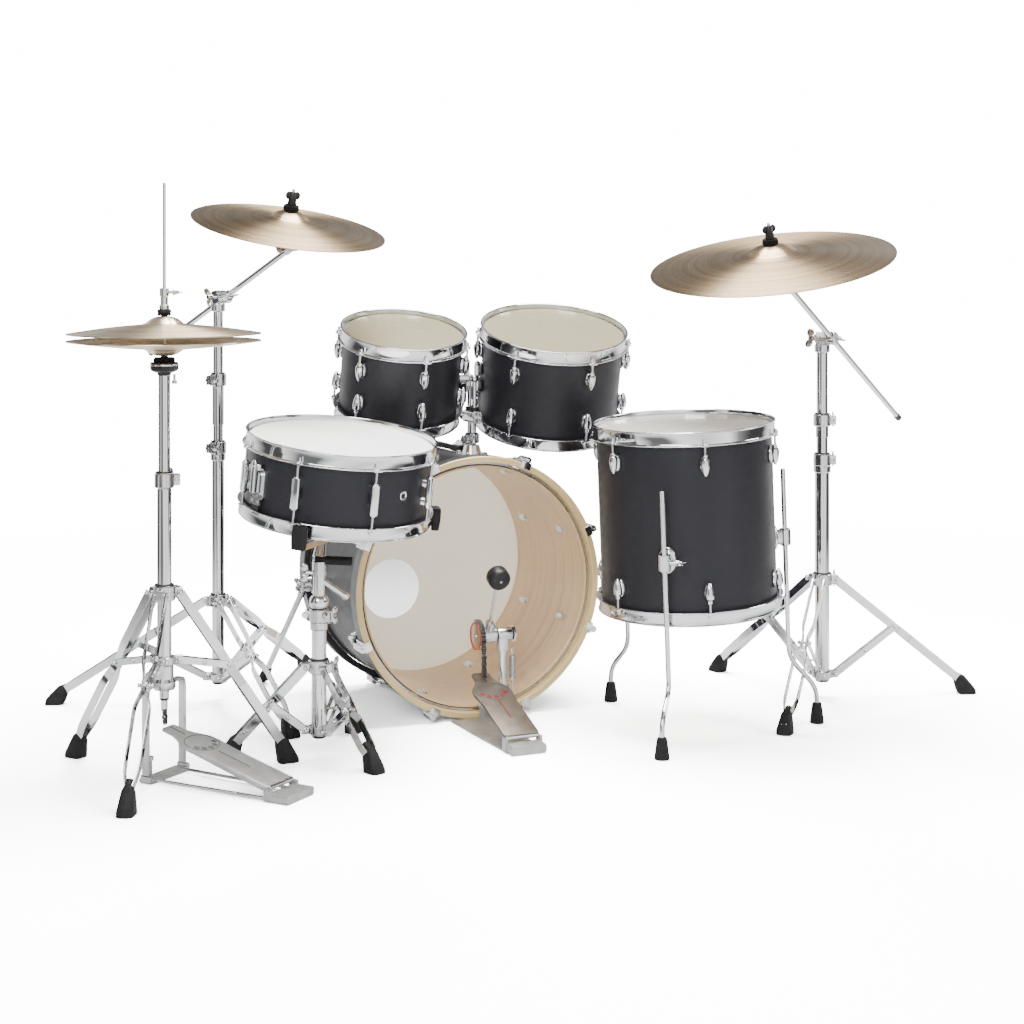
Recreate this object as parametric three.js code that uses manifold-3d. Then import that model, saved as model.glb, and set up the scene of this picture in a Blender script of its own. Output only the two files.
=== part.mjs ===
import * as THREE from 'three';
import { mergeVertices } from 'three/addons/utils/BufferGeometryUtils.js';
import Module from 'manifold-3d';

// Acoustic drum kit, millimetres, +Z up, floor at z = 0.
// +Y runs along the bass drum from the pedal side to the audience side, +X is the drummer's right.

const wasm = await Module();
wasm.setup();

// ---- driving dimensions ------------------------------------------------------------------------

const INCH = 25.4;
const FACETS = 24;
const TUBE_FACETS = 12;
const ROD_FACETS = 8;
// Plan centre of the whole kit, measured from the middle of the bass drum's pedal-side hoop.
const KIT_CENTRE = [104.55, 47.96];

// Hoops, heads and lugs share these offsets from the shell's outer radius.
const HOOP = { wallIn: 4.1, wallOut: 6.2, lip: 8.7, flange: 14, depth: 28 };
const HEAD = { film: 1.2, crown: 9, collarIn: 0.5, collarOut: 3.6, collarEnd: 23 };
const SHELL_WALL = 6;
const GAP = 0.5;

const DRUMS = {
  snare: { inches: 14, height: 164, top: [-348.7, -141.3, 616.9], normal: [0.057, -0.131, 0.99] },
  floor_tom: { inches: 14, height: 380, top: [346, -240, 627], normal: [-0.05, -0.02, 0.999] },
  tom_small: { inches: 10, height: 201, top: [-117, 143, 807], normal: [-0.025, -0.293, 0.956] },
  tom_mid: { inches: 12, height: 226, top: [217, 105, 806], normal: [-0.049, -0.297, 0.953] },
};
const LUGS = {
  snare: { count: 8, first: -87.6, drop: [82], size: [14, 18, 62] },
  floor_tom: { count: 6, first: -106.5, drop: [62, 318], size: [16, 20, 38] },
  tom_small: { count: 6, first: -89, drop: [58, 143], size: [15, 20, 32] },
  tom_mid: { count: 6, first: -83.6, drop: [60, 166], size: [15, 20, 34] },
};

const BASS = { radius: 254, hoopIn: 259.2, hoopOut: 272.5, hoopDepth: 38, crown: 16, length: 391 };
const BASS_AXIS_Z = BASS.hoopOut;
const BASS_LUGS = 8;
const PORT = { radius: 66, x: -62, z: -60 };
const SPUR = { pivot: [262, 330, 246], tip: [326, 501, 0], radius: 6.5 };

const TOM_POST = { x: 45, y: 158, radius: 10, blockZ: 600, blockTop: 626 };
const TOM_ARMS = {
  small: { y: 145, top: 697, reach: -1 },
  mid: { y: 172, top: 697, reach: 1 },
};
const ARM_RADIUS = 5;

const FLOOR_LEG = { angles: [-131.6, -17.6, 102.4], radius: 5, offset: 203, foot: 262, bracketDrop: 250 };

const HATS = {
  axis: [-701, -161],
  footRadius: 252,
  footAngles: [121.4, 241.4, 1.4],
  collar: 340,
  hub: 215,
  casting: [160, 204],
  lowerTop: 530,
  clampTop: 566,
  upperTop: 746,
  seatTop: 775,
  rodTop: 1097,
  pedalAngle: -52.6,
  pedalLength: 262,
};
const HAT_CYMBALS = { radius: 178, bottomEdge: 804.5, topEdge: 819.5 };

const CRASH = {
  axis: [-463, 361],
  tube: [12.9, 10.6],
  footRadius: 364,
  footAngles: [159.7, 39.7, -80.3],
  collar: 219,
  hub: 55,
  lowerTop: 560,
  boomEnd: [-568, 581, 743],
  clamp: 872,
  cymbal: { centre: [-364, 167, 1022], normal: [0.067, -0.251, 0.966], radius: 203.2, bell: 34 },
};
const RIDE = {
  axis: [750, -130],
  tube: [15.5, 12],
  footRadius: 342,
  footAngles: [-16.1, 103.9, -136.1],
  collar: 258,
  hub: 52,
  lowerTop: 530,
  boomEnd: [1050, 104, 616],
  clamp: 782,
  cymbal: { centre: [545, -259, 948], normal: [-0.213, -0.154, 0.965], radius: 254, bell: 38 },
};
const SNARE_STAND = {
  axis: [-391.5, -126.8],
  tube: [14.5, 11.5],
  footRadius: 188,
  footAngles: [-71.6, 168.4, 48.4],
  collar: 170,
  hub: 48,
  lowerTop: 280,
  upperTop: 360,
  armAngles: [-126.6, -6.6, 113.4],
};
const KICK = {
  x: -22,
  axleY: -37,
  axleZ: 180,
  postX: 32,
  heelY: -262,
  tipY: -46,
  tipZ: 104,
  beater: [-92, 307],
};

// How far down a stand's leg its brace is hinged, as a share of the leg.
const BRACE_AT = 0.45;

// ---- materials ---------------------------------------------------------------------------------

function material(colour, roughness, metalness) {
  return new THREE.MeshStandardMaterial({ color: colour, roughness, metalness });
}

const MAT = {
  chrome: material(0xd4d6d8, 0.12, 1),
  satin: material(0x3c3d42, 0.42, 0.1),
  bronze: material(0xb99b63, 0.3, 1),
  maple: material(0xd9b684, 0.45, 0),
  coated: material(0xe9e7e0, 0.6, 0),
  clear: material(0xd8d2c2, 0.35, 0),
  steel: material(0x9a9b9c, 0.35, 1),
  grey: material(0xa8a59c, 0.4, 0.6),
};

// ---- solid helpers -----------------------------------------------------------------------------

const vec = (p) => new THREE.Vector3(p[0], p[1], p[2]);
const Z_AXIS = new THREE.Vector3(0, 0, 1);

function polar(angle, radius, z = 0) {
  const a = THREE.MathUtils.degToRad(angle);
  return new THREE.Vector3(radius * Math.cos(a), radius * Math.sin(a), z);
}

function signedVolume(geometry) {
  const p = geometry.attributes.position;
  const index = geometry.index;
  const [a, b, c] = [new THREE.Vector3(), new THREE.Vector3(), new THREE.Vector3()];
  let total = 0;
  for (let i = 0; i < index.count; i += 3) {
    a.fromBufferAttribute(p, index.getX(i));
    b.fromBufferAttribute(p, index.getX(i + 1));
    c.fromBufferAttribute(p, index.getX(i + 2));
    total += a.dot(b.cross(c));
  }
  return total;
}

function weld(geometry) {
  const bare = geometry.clone();
  bare.deleteAttribute('normal');
  bare.deleteAttribute('uv');
  return mergeVertices(bare, 1e-3);
}

function toManifold(geometry) {
  const welded = weld(geometry);
  const triangles = Uint32Array.from(welded.index.array);
  if (signedVolume(welded) < 0) {
    for (let i = 0; i < triangles.length; i += 3) {
      [triangles[i], triangles[i + 1]] = [triangles[i + 1], triangles[i]];
    }
  }
  const vertices = Float32Array.from(welded.attributes.position.array);
  return new wasm.Manifold(new wasm.Mesh({ numProp: 3, vertProperties: vertices, triVerts: triangles }));
}

function fromManifold(solid) {
  const mesh = solid.getMesh();
  const geometry = new THREE.BufferGeometry();
  const positions = new Float32Array(mesh.numVert * 3);
  for (let i = 0; i < mesh.numVert; i += 1) {
    for (let k = 0; k < 3; k += 1) {
      positions[i * 3 + k] = mesh.vertProperties[i * mesh.numProp + k];
    }
  }
  geometry.setAttribute('position', new THREE.BufferAttribute(positions, 3));
  geometry.setIndex(Array.from(mesh.triVerts));
  return geometry;
}

function join(added, removed = []) {
  let solid = added.map(toManifold).reduce((a, b) => a.add(b));
  for (const tool of removed) {
    solid = solid.subtract(toManifold(tool));
  }
  return fromManifold(solid);
}

// Turns geometry modelled along +Z so that it starts at a point and runs along a direction.
function along(geometry, origin, direction, hint) {
  const z = direction.clone().normalize();
  const side = hint || (Math.abs(z.z) > 0.9 ? new THREE.Vector3(1, 0, 0) : Z_AXIS);
  const y = new THREE.Vector3().crossVectors(z, side).normalize();
  const x = new THREE.Vector3().crossVectors(y, z);
  const matrix = new THREE.Matrix4().makeBasis(x, y, z).setPosition(origin);
  return geometry.applyMatrix4(matrix);
}

// A solid of revolution about +Z from [radius, z] pairs. A ring closes on itself.
function lathe(profile, facets = FACETS) {
  const points = profile.map(([r, z]) => new THREE.Vector2(r, z));
  if (profile[0][0] > 0) {
    points.push(points[0].clone());
  }
  return new THREE.LatheGeometry(points, facets).rotateX(Math.PI / 2);
}

function ring(inner, outer, low, high, facets = FACETS) {
  return lathe([[inner, low], [outer, low], [outer, high], [inner, high]], facets);
}

function disc(radius, low, high, facets = FACETS) {
  return lathe([[0, low], [radius, low], [radius, high], [0, high]], facets);
}

function rod(a, b, radius, facets = ROD_FACETS) {
  const direction = new THREE.Vector3().subVectors(b, a);
  return along(disc(radius, 0, direction.length(), facets), a, direction);
}

function cone(a, b, radiusA, radiusB, facets = 6) {
  const direction = new THREE.Vector3().subVectors(b, a);
  const profile = [[0, 0], [radiusA, 0], [radiusB, direction.length()], [0, direction.length()]];
  return along(lathe(profile, facets), a, direction);
}

// A bent round bar: straight runs with a ball at every bend.
function bentRod(points, radius) {
  const parts = [];
  for (let i = 1; i < points.length; i += 1) {
    parts.push(rod(points[i - 1], points[i], radius));
    if (i < points.length - 1) {
      parts.push(new THREE.SphereGeometry(radius, ROD_FACETS, 4).translate(...points[i].toArray()));
    }
  }
  return join(parts);
}

// A flat bar from a to b. Width runs level and sideways, depth is the other way.
function bar(a, b, width, depth) {
  const direction = new THREE.Vector3().subVectors(b, a);
  const geometry = new THREE.BoxGeometry(depth, width, direction.length());
  return along(geometry.translate(0, 0, direction.length() / 2), a, direction);
}

function box(size, centre) {
  return new THREE.BoxGeometry(...size).translate(...centre);
}

// ---- assembly ----------------------------------------------------------------------------------

const kit = new THREE.Group();
kit.name = 'drum_kit';

function addPiece(name, geometry, look) {
  const solid = toManifold(geometry);
  if (solid.decompose().length !== 1) {
    throw new Error(`${name} is not one connected body`);
  }
  const clean = fromManifold(solid).translate(-KIT_CENTRE[0], -KIT_CENTRE[1], 0);
  const split = clean.toNonIndexed();
  split.computeVertexNormals();
  const mesh = new THREE.Mesh(split, look);
  mesh.name = name;
  kit.add(mesh);
}

// ---- drums -------------------------------------------------------------------------------------

function steelHoop(shell) {
  return lathe([
    [shell + HOOP.wallIn, 0],
    [shell + HOOP.lip, 0],
    [shell + HOOP.wallOut, -4],
    [shell + HOOP.wallOut, 3 - HOOP.depth],
    [shell + HOOP.flange, 3 - HOOP.depth],
    [shell + HOOP.flange, -HOOP.depth],
    [shell + HOOP.wallIn, -HOOP.depth],
  ]);
}

function headProfile(shell, crown) {
  const end = crown + HEAD.collarEnd - 9;
  return [
    [0, -crown],
    [shell + HEAD.collarOut, -crown],
    [shell + HEAD.collarOut, -end],
    [shell + HEAD.collarIn, -end],
    [shell + HEAD.collarIn, -crown - HEAD.film],
    [0, -crown - HEAD.film],
  ];
}

function shellTube(shell, low, high) {
  return ring(shell - SHELL_WALL, shell, low, high);
}

function lugBlocks(spec, shell) {
  const blocks = [];
  const [width, depth, height] = spec.size;
  for (let i = 0; i < spec.count; i += 1) {
    for (const drop of spec.drop) {
      const block = box([depth + 2, width, height], [shell - 2 + depth / 2, 0, -drop]);
      blocks.push(block.rotateZ(THREE.MathUtils.degToRad(spec.first + (360 / spec.count) * i)));
    }
  }
  return blocks;
}

// Moves geometry modelled below its top rim at the origin to a drum's own place and tilt.
function seat(geometry, drum) {
  const turn = new THREE.Quaternion().setFromUnitVectors(Z_AXIS, vec(drum.normal).normalize());
  return geometry.applyQuaternion(turn).translate(...drum.top);
}

function drumPoint(drum, x, y, z) {
  const turn = new THREE.Quaternion().setFromUnitVectors(Z_AXIS, vec(drum.normal).normalize());
  return new THREE.Vector3(x, y, z).applyQuaternion(turn).add(vec(drum.top));
}

function flip(geometry, height) {
  return geometry.rotateX(Math.PI).translate(0, 0, -height);
}

function addDrum(name, batter, extra = [], holes = []) {
  const drum = DRUMS[name];
  const shell = (drum.inches * INCH) / 2;
  const edge = HEAD.crown + HEAD.film + GAP;
  const tube = shellTube(shell, edge - drum.height, -edge);
  const body = [tube, ...lugBlocks(LUGS[name], shell)].map((part) => seat(part, drum));
  addPiece(`${name}_shell`, join([...body, ...extra], holes), MAT.satin);
  addPiece(`${name}_top_hoop`, seat(steelHoop(shell), drum), MAT.chrome);
  addPiece(`${name}_bottom_hoop`, seat(flip(steelHoop(shell), drum.height), drum), MAT.chrome);
  const head = lathe(headProfile(shell, HEAD.crown));
  addPiece(`${name}_batter_head`, seat(head.clone(), drum), batter);
  addPiece(`${name}_bottom_head`, seat(flip(head, drum.height), drum), MAT.clear);
}

// ---- bass drum ---------------------------------------------------------------------------------

// Turns geometry modelled below a hoop face at the origin so that its top looks at the pedal.
function bassPlace(geometry) {
  return geometry.rotateX(Math.PI / 2).translate(0, 0, BASS_AXIS_Z);
}

function bassLugs() {
  const blocks = [];
  for (let i = 0; i < BASS_LUGS; i += 1) {
    const turn = Math.PI / BASS_LUGS + (2 * Math.PI * i) / BASS_LUGS;
    for (const drop of [95, BASS.length - 95]) {
      blocks.push(box([22, 16, 48], [BASS.radius + 8, 0, -drop]).rotateZ(turn));
    }
  }
  return blocks;
}

function spurEnds(side) {
  const pivot = vec([side * SPUR.pivot[0], SPUR.pivot[1], SPUR.pivot[2]]);
  const tip = vec([side * SPUR.tip[0], SPUR.tip[1], SPUR.tip[2]]);
  return [pivot, tip];
}

function addBassDrum() {
  const edge = BASS.crown + HEAD.film + GAP;
  const shell = [shellTube(BASS.radius, edge - BASS.length, -edge), ...bassLugs()].map(bassPlace);
  const brackets = [-1, 1].map((side) => box([12, 44, 44], [side * 257, 330, 246]));
  addPiece('bass_shell', join([...shell, ...brackets]), MAT.satin);

  const hoop = () => ring(BASS.hoopIn, BASS.hoopOut, -BASS.hoopDepth, 0);
  addPiece('bass_batter_hoop', bassPlace(hoop()), MAT.maple);
  addPiece('bass_front_hoop', bassPlace(flip(hoop(), BASS.length)), MAT.maple);
  addPiece('bass_batter_head', bassPlace(lathe(headProfile(BASS.radius, BASS.crown))), MAT.clear);

  const front = bassPlace(flip(lathe(headProfile(BASS.radius, BASS.crown)), BASS.length));
  const portZ = BASS_AXIS_Z + PORT.z;
  const [portStart, portEnd] = [BASS.length - 60, BASS.length + 40];
  const port = rod(vec([PORT.x, portStart, portZ]), vec([PORT.x, portEnd, portZ]), PORT.radius, FACETS);
  addPiece('bass_front_head', join([front], [port]), MAT.coated);

  for (const [name, side] of [['bass_spur_left', -1], ['bass_spur_right', 1]]) {
    const [pivot, tip] = spurEnds(side);
    const out = new THREE.Vector3(side, 0, 0);
    const start = pivot.clone().addScaledVector(out, 14);
    const bossStart = pivot.clone().addScaledVector(out, 1.5);
    const boss = rod(bossStart, pivot.clone().addScaledVector(out, 26), 17, TUBE_FACETS);
    const down = new THREE.Vector3().subVectors(tip, start).normalize();
    const footTop = tip.clone().addScaledVector(down, -46);
    const rubber = cone(footTop, tip.clone().addScaledVector(down, 6), 9, 12);
    const floor = box([80, 80, 40], [tip.x, tip.y, -20]);
    addPiece(name, join([boss, rod(start, tip, SPUR.radius), rubber], [floor]), MAT.chrome);
  }
}

function addTomHolder() {
  const { x, y, radius, blockZ, blockTop } = TOM_POST;
  const base = box([56, 70, 8], [x, y, 527 + 4]);
  const tube = rod(vec([x, y, 528]), vec([x, y, blockZ + 2]), radius, 12);
  const block = box([22, 62, blockTop - blockZ], [x, y, (blockZ + blockTop) / 2]);
  const bores = Object.values(TOM_ARMS).map((arm) => {
    return rod(vec([x, arm.y, 606]), vec([x, arm.y, 640]), ARM_RADIUS + 0.4);
  });
  addPiece('tom_holder_post', join([base, tube, block], bores), MAT.chrome);
  for (const [name, arm] of Object.entries(TOM_ARMS)) {
    const top = vec([x, arm.y, arm.top]);
    const stub = vec([x + arm.reach * 26, arm.y, arm.top]);
    const knuckle = new THREE.SphereGeometry(9, ROD_FACETS, 6).translate(...top.toArray());
    const parts = [rod(vec([x, arm.y, 607]), top, ARM_RADIUS), knuckle, rod(top, stub, ARM_RADIUS)];
    addPiece(`tom_arm_${name}`, join(parts), MAT.chrome);
  }
}

// The block on a tom's shell that turns on the holder arm's level stub.
function tomBracket(arm, innerX, outerX) {
  const centre = [(innerX + outerX) / 2, arm.y, arm.top];
  const block = box([Math.abs(outerX - innerX), 30, 38], centre);
  const x = TOM_POST.x;
  const bore = rod(vec([x, arm.y, arm.top]), vec([x + arm.reach * 26.6, arm.y, arm.top]), ARM_RADIUS + 0.5);
  return [block, bore];
}

// ---- floor tom ---------------------------------------------------------------------------------

function legPath(angle) {
  const drum = DRUMS.floor_tom;
  const out = polar(angle, FLOOR_LEG.offset);
  const top = drumPoint(drum, out.x, out.y, -110);
  const bend = drumPoint(drum, out.x, out.y, -(drum.height + 120));
  const far = polar(angle, FLOOR_LEG.foot);
  const ankle = new THREE.Vector3(bend.x + far.x - out.x, bend.y + far.y - out.y, 72);
  return [top, bend, ankle, new THREE.Vector3(ankle.x, ankle.y, 8)];
}

function addFloorTom() {
  const drum = DRUMS.floor_tom;
  const shell = (drum.inches * INCH) / 2;
  const brackets = [];
  const bores = [];
  for (const angle of FLOOR_LEG.angles) {
    const block = new THREE.BoxGeometry(40, 34, 46).translate(shell + 18, 0, -FLOOR_LEG.bracketDrop);
    brackets.push(seat(block.rotateZ(THREE.MathUtils.degToRad(angle)), drum));
    const out = polar(angle, FLOOR_LEG.offset);
    const low = drumPoint(drum, out.x, out.y, -FLOOR_LEG.bracketDrop - 40);
    const high = drumPoint(drum, out.x, out.y, -FLOOR_LEG.bracketDrop + 40);
    bores.push(rod(low, high, FLOOR_LEG.radius + 0.5));
  }
  addDrum('floor_tom', MAT.clear, brackets, bores);
  FLOOR_LEG.angles.forEach((angle, i) => {
    const path = legPath(angle);
    const foot = path[3];
    const rubber = cone(new THREE.Vector3(foot.x, foot.y, 0), new THREE.Vector3(foot.x, foot.y, 42), 14, 9);
    addPiece(`floor_tom_leg_${i + 1}`, join([bentRod(path, FLOOR_LEG.radius), rubber]), MAT.chrome);
  });
}

// ---- stands ------------------------------------------------------------------------------------

// Legs, braces and feet around a vertical tube, joined by the collars they hinge on.
function tripod(stand, collarRadius, hubRadius) {
  const centre = new THREE.Vector3(stand.axis[0], stand.axis[1], 0);
  const parts = [];
  const span = 2 * stand.footRadius + 200;
  const floor = box([span, span, 60], [centre.x, centre.y, -30]);
  for (const angle of stand.footAngles) {
    const top = polar(angle, collarRadius, stand.collar).add(centre);
    const foot = polar(angle, stand.footRadius - 12, 12).add(centre);
    const down = new THREE.Vector3().subVectors(foot, top).normalize();
    parts.push(bar(top, foot, 20, 7));
    const rubberTop = foot.clone().addScaledVector(down, -40);
    parts.push(cone(rubberTop, foot.clone().addScaledVector(down, 14), 10, 16));
    const joint = new THREE.Vector3().lerpVectors(top, foot, BRACE_AT);
    parts.push(bar(polar(angle, hubRadius, stand.hub).add(centre), joint, 14, 7));
  }
  return [parts, floor];
}

function standTube(stand, outer, bore, low) {
  const profile = [[0, low], [outer, low], [outer, stand.lowerTop], [bore, stand.lowerTop]];
  profile.push([bore, low + 30], [0, low + 30]);
  return lathe(profile, TUBE_FACETS).translate(stand.axis[0], stand.axis[1], 0);
}

function collar(stand, inner, outer, low, high) {
  return ring(inner, outer, low, high, TUBE_FACETS).translate(stand.axis[0], stand.axis[1], 0);
}

function standBase(stand, clampHeight) {
  const [outer, inner] = stand.tube;
  const bore = inner + 0.5;
  const [legs, floor] = tripod(stand, outer + 8, outer + 6);
  const parts = [
    ...legs,
    standTube(stand, outer, bore, stand.hub - 14),
    collar(stand, outer - 1, outer + 9, stand.collar - 13, stand.collar + 13),
    collar(stand, outer - 1, outer + 7, stand.hub - 7, stand.hub + 7),
    collar(stand, outer - 1, outer + 5, stand.lowerTop - clampHeight, stand.lowerTop),
  ];
  const clear = rod(
    vec([...stand.axis, stand.hub + 20]),
    vec([...stand.axis, stand.lowerTop + 10]),
    bore,
    TUBE_FACETS,
  );
  return join(parts, [floor, clear]);
}

// Directions and points a boom stand is laid out from.
function boomFrame(stand) {
  const { centre, normal, bell } = stand.cymbal;
  const up = vec(normal).normalize();
  const hub = vec(centre).addScaledVector(up, -42);
  const clamp = vec([...stand.axis, stand.clamp]);
  const reach = new THREE.Vector3().subVectors(hub, clamp);
  const side = new THREE.Vector3().crossVectors(Z_AXIS, reach).normalize();
  return { up, hub, clamp, side, bell, centre: vec(centre) };
}

function addUpperTube(name, stand) {
  const { clamp, side } = boomFrame(stand);
  const radius = stand.tube[1];
  const base = vec([...stand.axis, stand.lowerTop - 120]);
  const tube = rod(base, clamp, radius, TUBE_FACETS);
  const knuckle = rod(
    clamp.clone().addScaledVector(side, -radius),
    clamp.clone().addScaledVector(side, radius),
    15,
    TUBE_FACETS,
  );
  const memory = collar(stand, radius - 1, radius + 7, clamp.z - 190, clamp.z - 166);
  addPiece(`${name}_upper_tube`, join([tube, knuckle, memory]), MAT.chrome);
}

function addBoom(name, stand) {
  const { clamp, hub, side } = boomFrame(stand);
  const radius = stand.tube[1];
  const shift = side.clone().multiplyScalar(radius + 11);
  const start = clamp.clone().add(shift);
  const near = hub.clone().add(shift);
  const direction = new THREE.Vector3().subVectors(near, start).normalize();
  const far = vec(stand.boomEnd).add(shift);
  const run = start.distanceTo(far);
  const tail = start.clone().addScaledVector(direction, -run);
  const plate = rod(
    clamp.clone().addScaledVector(side, radius + 0.5),
    clamp.clone().addScaledVector(side, radius + 22),
    15,
    TUBE_FACETS,
  );
  const tipPlate = rod(
    near.clone().addScaledVector(side, -9),
    near.clone().addScaledVector(side, 9),
    10,
    12,
  );
  addPiece(`${name}_boom`, join([rod(tail, near, 6.3), plate, tipPlate]), MAT.chrome);
}

function addTilter(name, stand) {
  const { hub, up, side, bell, centre } = boomFrame(stand);
  const radius = stand.tube[1];
  const plate = rod(
    hub.clone().addScaledVector(side, radius + 1.5),
    hub.clone().addScaledVector(side, -9),
    10,
    12,
  );
  const under = bell - 1.6;
  const profile = [
    [0, 0],
    [8, 0],
    [8, under - 16 + 42],
    [17, under - 14 + 42],
    [17, under - 3 + 42],
    [4, under - 3 + 42],
    [4, bell + 1 + 42],
    [17, bell + 1 + 42],
    [17, bell + 12 + 42],
    [9, bell + 15 + 42],
    [8, bell + 48 + 42],
    [0, bell + 48 + 42],
  ];
  const stem = along(lathe(profile, 12), hub, up);
  addPiece(`${name}_tilter`, join([plate, stem]), MAT.chrome);
}

// One thin cymbal about +Z with its edge at z = 0 and its bell standing up.
function cymbal(radius, bell, hole) {
  const thick = 1.4;
  const outline = [
    [hole, bell],
    [radius * 0.12, bell - 2.5],
    [radius * 0.2, bell * 0.6],
    [radius * 0.62, bell * 0.28],
    [radius, 0],
  ];
  const under = outline.map(([r, z]) => [r, z - thick]).reverse();
  return lathe([...outline, ...under]);
}

function addCymbalStand(name, stand) {
  addPiece(`${name}_base`, standBase(stand, 24), MAT.chrome);
  addUpperTube(name, stand);
  addBoom(name, stand);
  addTilter(name, stand);
  const { centre, normal, radius, bell } = stand.cymbal;
  addPiece(`${name}_cymbal`, along(cymbal(radius, bell, 6), vec(centre), vec(normal)), MAT.bronze);
}

// ---- hi-hat ------------------------------------------------------------------------------------

function hatPoint(along, across, z) {
  const a = THREE.MathUtils.degToRad(HATS.pedalAngle);
  const x = HATS.axis[0] + along * Math.cos(a) - across * Math.sin(a);
  const y = HATS.axis[1] + along * Math.sin(a) + across * Math.cos(a);
  return new THREE.Vector3(x, y, z);
}

function hatBlock(size, centre) {
  const geometry = box(size, [0, 0, 0]).rotateZ(THREE.MathUtils.degToRad(HATS.pedalAngle));
  return geometry.translate(...hatPoint(...centre).toArray());
}

function addHatChassis() {
  const [low, top] = HATS.casting;
  const tube = lathe(
    [[5, low], [13.2, low], [13.2, HATS.lowerTop], [19, HATS.lowerTop], [19, HATS.clampTop],
      [11.3, HATS.clampTop], [11.3, 240], [5, 240]],
    TUBE_FACETS,
  ).translate(...HATS.axis, 0);
  const parts = [tube, collar(HATS, 12, 20, low, top)];
  for (const side of [-1, 1]) {
    parts.push(hatBlock([16, 5, 176], [0, side * 50, 88]));
  }
  const arch = hatBlock([14, 100, 8], [0, 0, 172]);
  parts.push(arch);
  parts.push(hatBlock([30, 105, 7], [0, 0, 3.5]));
  for (const side of [-1, 1]) {
    parts.push(rod(hatPoint(0, side * 42, 6), hatPoint(HATS.pedalLength + 8, side * 36, 6), 3.2, 8));
  }
  parts.push(hatBlock([46, 82, 16], [HATS.pedalLength + 25, 0, 8]));
  const clear = rod(hatPoint(0, 0, 100), hatPoint(0, 0, 250), 5, TUBE_FACETS);
  addPiece('hihat_chassis', join(parts, [clear]), MAT.chrome);
}

function addHatTripod() {
  const [legs, floor] = tripod(HATS, 20, 18);
  const upper = collar(HATS, 13.8, 22, HATS.collar - 14, HATS.collar + 14);
  const lower = collar(HATS, 13.8, 20, HATS.hub - 7, HATS.hub + 7);
  const clear = rod(hatPoint(0, 0, 100), hatPoint(0, 0, 400), 13.8, TUBE_FACETS);
  addPiece('hihat_tripod', join([...legs, upper, lower], [floor, clear]), MAT.chrome);
}

function addHats() {
  const { upperTop, seatTop, rodTop } = HATS;
  const seatProfile = [
    [5, 400], [10.8, 400], [10.8, upperTop], [26, upperTop],
    [26, seatTop], [6.5, seatTop], [6.5, seatTop + 8], [5, seatTop + 8],
  ];
  addPiece('hihat_upper_tube', lathe(seatProfile, TUBE_FACETS).translate(...HATS.axis, 0), MAT.chrome);

  const { radius, bottomEdge, topEdge } = HAT_CYMBALS;
  const bottom = cymbal(radius, 27, 8).rotateX(Math.PI).translate(...HATS.axis, bottomEdge);
  addPiece('hihat_bottom_cymbal', bottom, MAT.bronze);
  addPiece('hihat_top_cymbal', cymbal(radius, 31, 7.5).translate(...HATS.axis, topEdge), MAT.bronze);

  const bell = topEdge + 31;
  const clutch = [
    [3.7, bell - 14], [10, bell - 14], [10, bell - 2.5], [6, bell - 2.5], [6, bell + 1], [13, bell + 1],
    [13, bell + 14], [9, bell + 16], [9, bell + 52], [3.7, bell + 52],
  ];
  addPiece('hihat_clutch', lathe(clutch, TUBE_FACETS).translate(...HATS.axis, 0), MAT.chrome);

  const pull = rod(hatPoint(0, 0, 140), hatPoint(0, 0, rodTop), 3.2);
  const chain = hatBlock([7, 13, 48], [0, 0, 124]);
  addPiece('hihat_pull_rod', join([pull, chain]), MAT.chrome);
}

function addHatFootboard() {
  const heel = hatPoint(HATS.pedalLength, 0, 24);
  const tip = hatPoint(8, 0, 92);
  const side = new THREE.Vector3().subVectors(tip, heel).normalize();
  const middle = new THREE.Vector3().lerpVectors(heel, tip, 0.72);
  const board = bar(heel, middle, 74, 6);
  const nose = bar(middle.clone().addScaledVector(side, -2), tip, 34, 6);
  const axle = rod(hatPoint(HATS.pedalLength + 1, -34, 24), hatPoint(HATS.pedalLength + 1, 34, 24), 5);
  addPiece('hihat_footboard', join([board, nose, axle]), MAT.grey);
}

// ---- snare stand -------------------------------------------------------------------------------

function addSnareStand() {
  addPiece('snare_stand_base', standBase(SNARE_STAND, 26), MAT.chrome);
  const { axis, tube, lowerTop, upperTop, armAngles } = SNARE_STAND;
  const drum = DRUMS.snare;
  const upper = rod(vec([...axis, lowerTop - 120]), vec([...axis, upperTop]), tube[1], TUBE_FACETS);
  const fork = box([24, 30, 26], [axis[0], axis[1], upperTop]);
  addPiece('snare_stand_upper_tube', join([upper, fork]), MAT.chrome);

  const radius = (drum.inches * INCH) / 2 + HOOP.flange + 1;
  const low = -drum.height - 34;
  const hub = seat(disc(30, low - 10, low + 8, 12), drum);
  const stem = rod(vec([axis[0], axis[1], upperTop + 20]), drumPoint(drum, -20, 0, low), 13, 12);
  const parts = [hub, stem];
  for (const angle of armAngles) {
    const start = polar(angle, 10);
    const elbow = polar(angle, radius + 8);
    const a = drumPoint(drum, start.x, start.y, low);
    const b = drumPoint(drum, elbow.x, elbow.y, -drum.height - 16);
    const c = drumPoint(drum, elbow.x, elbow.y, -drum.height + 8);
    parts.push(bar(a, b, 16, 8));
    parts.push(bar(b.clone().lerp(c, -0.1), c, 18, 14));
    const lip = polar(angle, radius - 4);
    const d = drumPoint(drum, lip.x, lip.y, -drum.height - 6);
    const e = drumPoint(drum, elbow.x, elbow.y, -drum.height - 6);
    parts.push(bar(d, e, 18, 10));
  }
  addPiece('snare_basket', join(parts), MAT.chrome);
}

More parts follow.
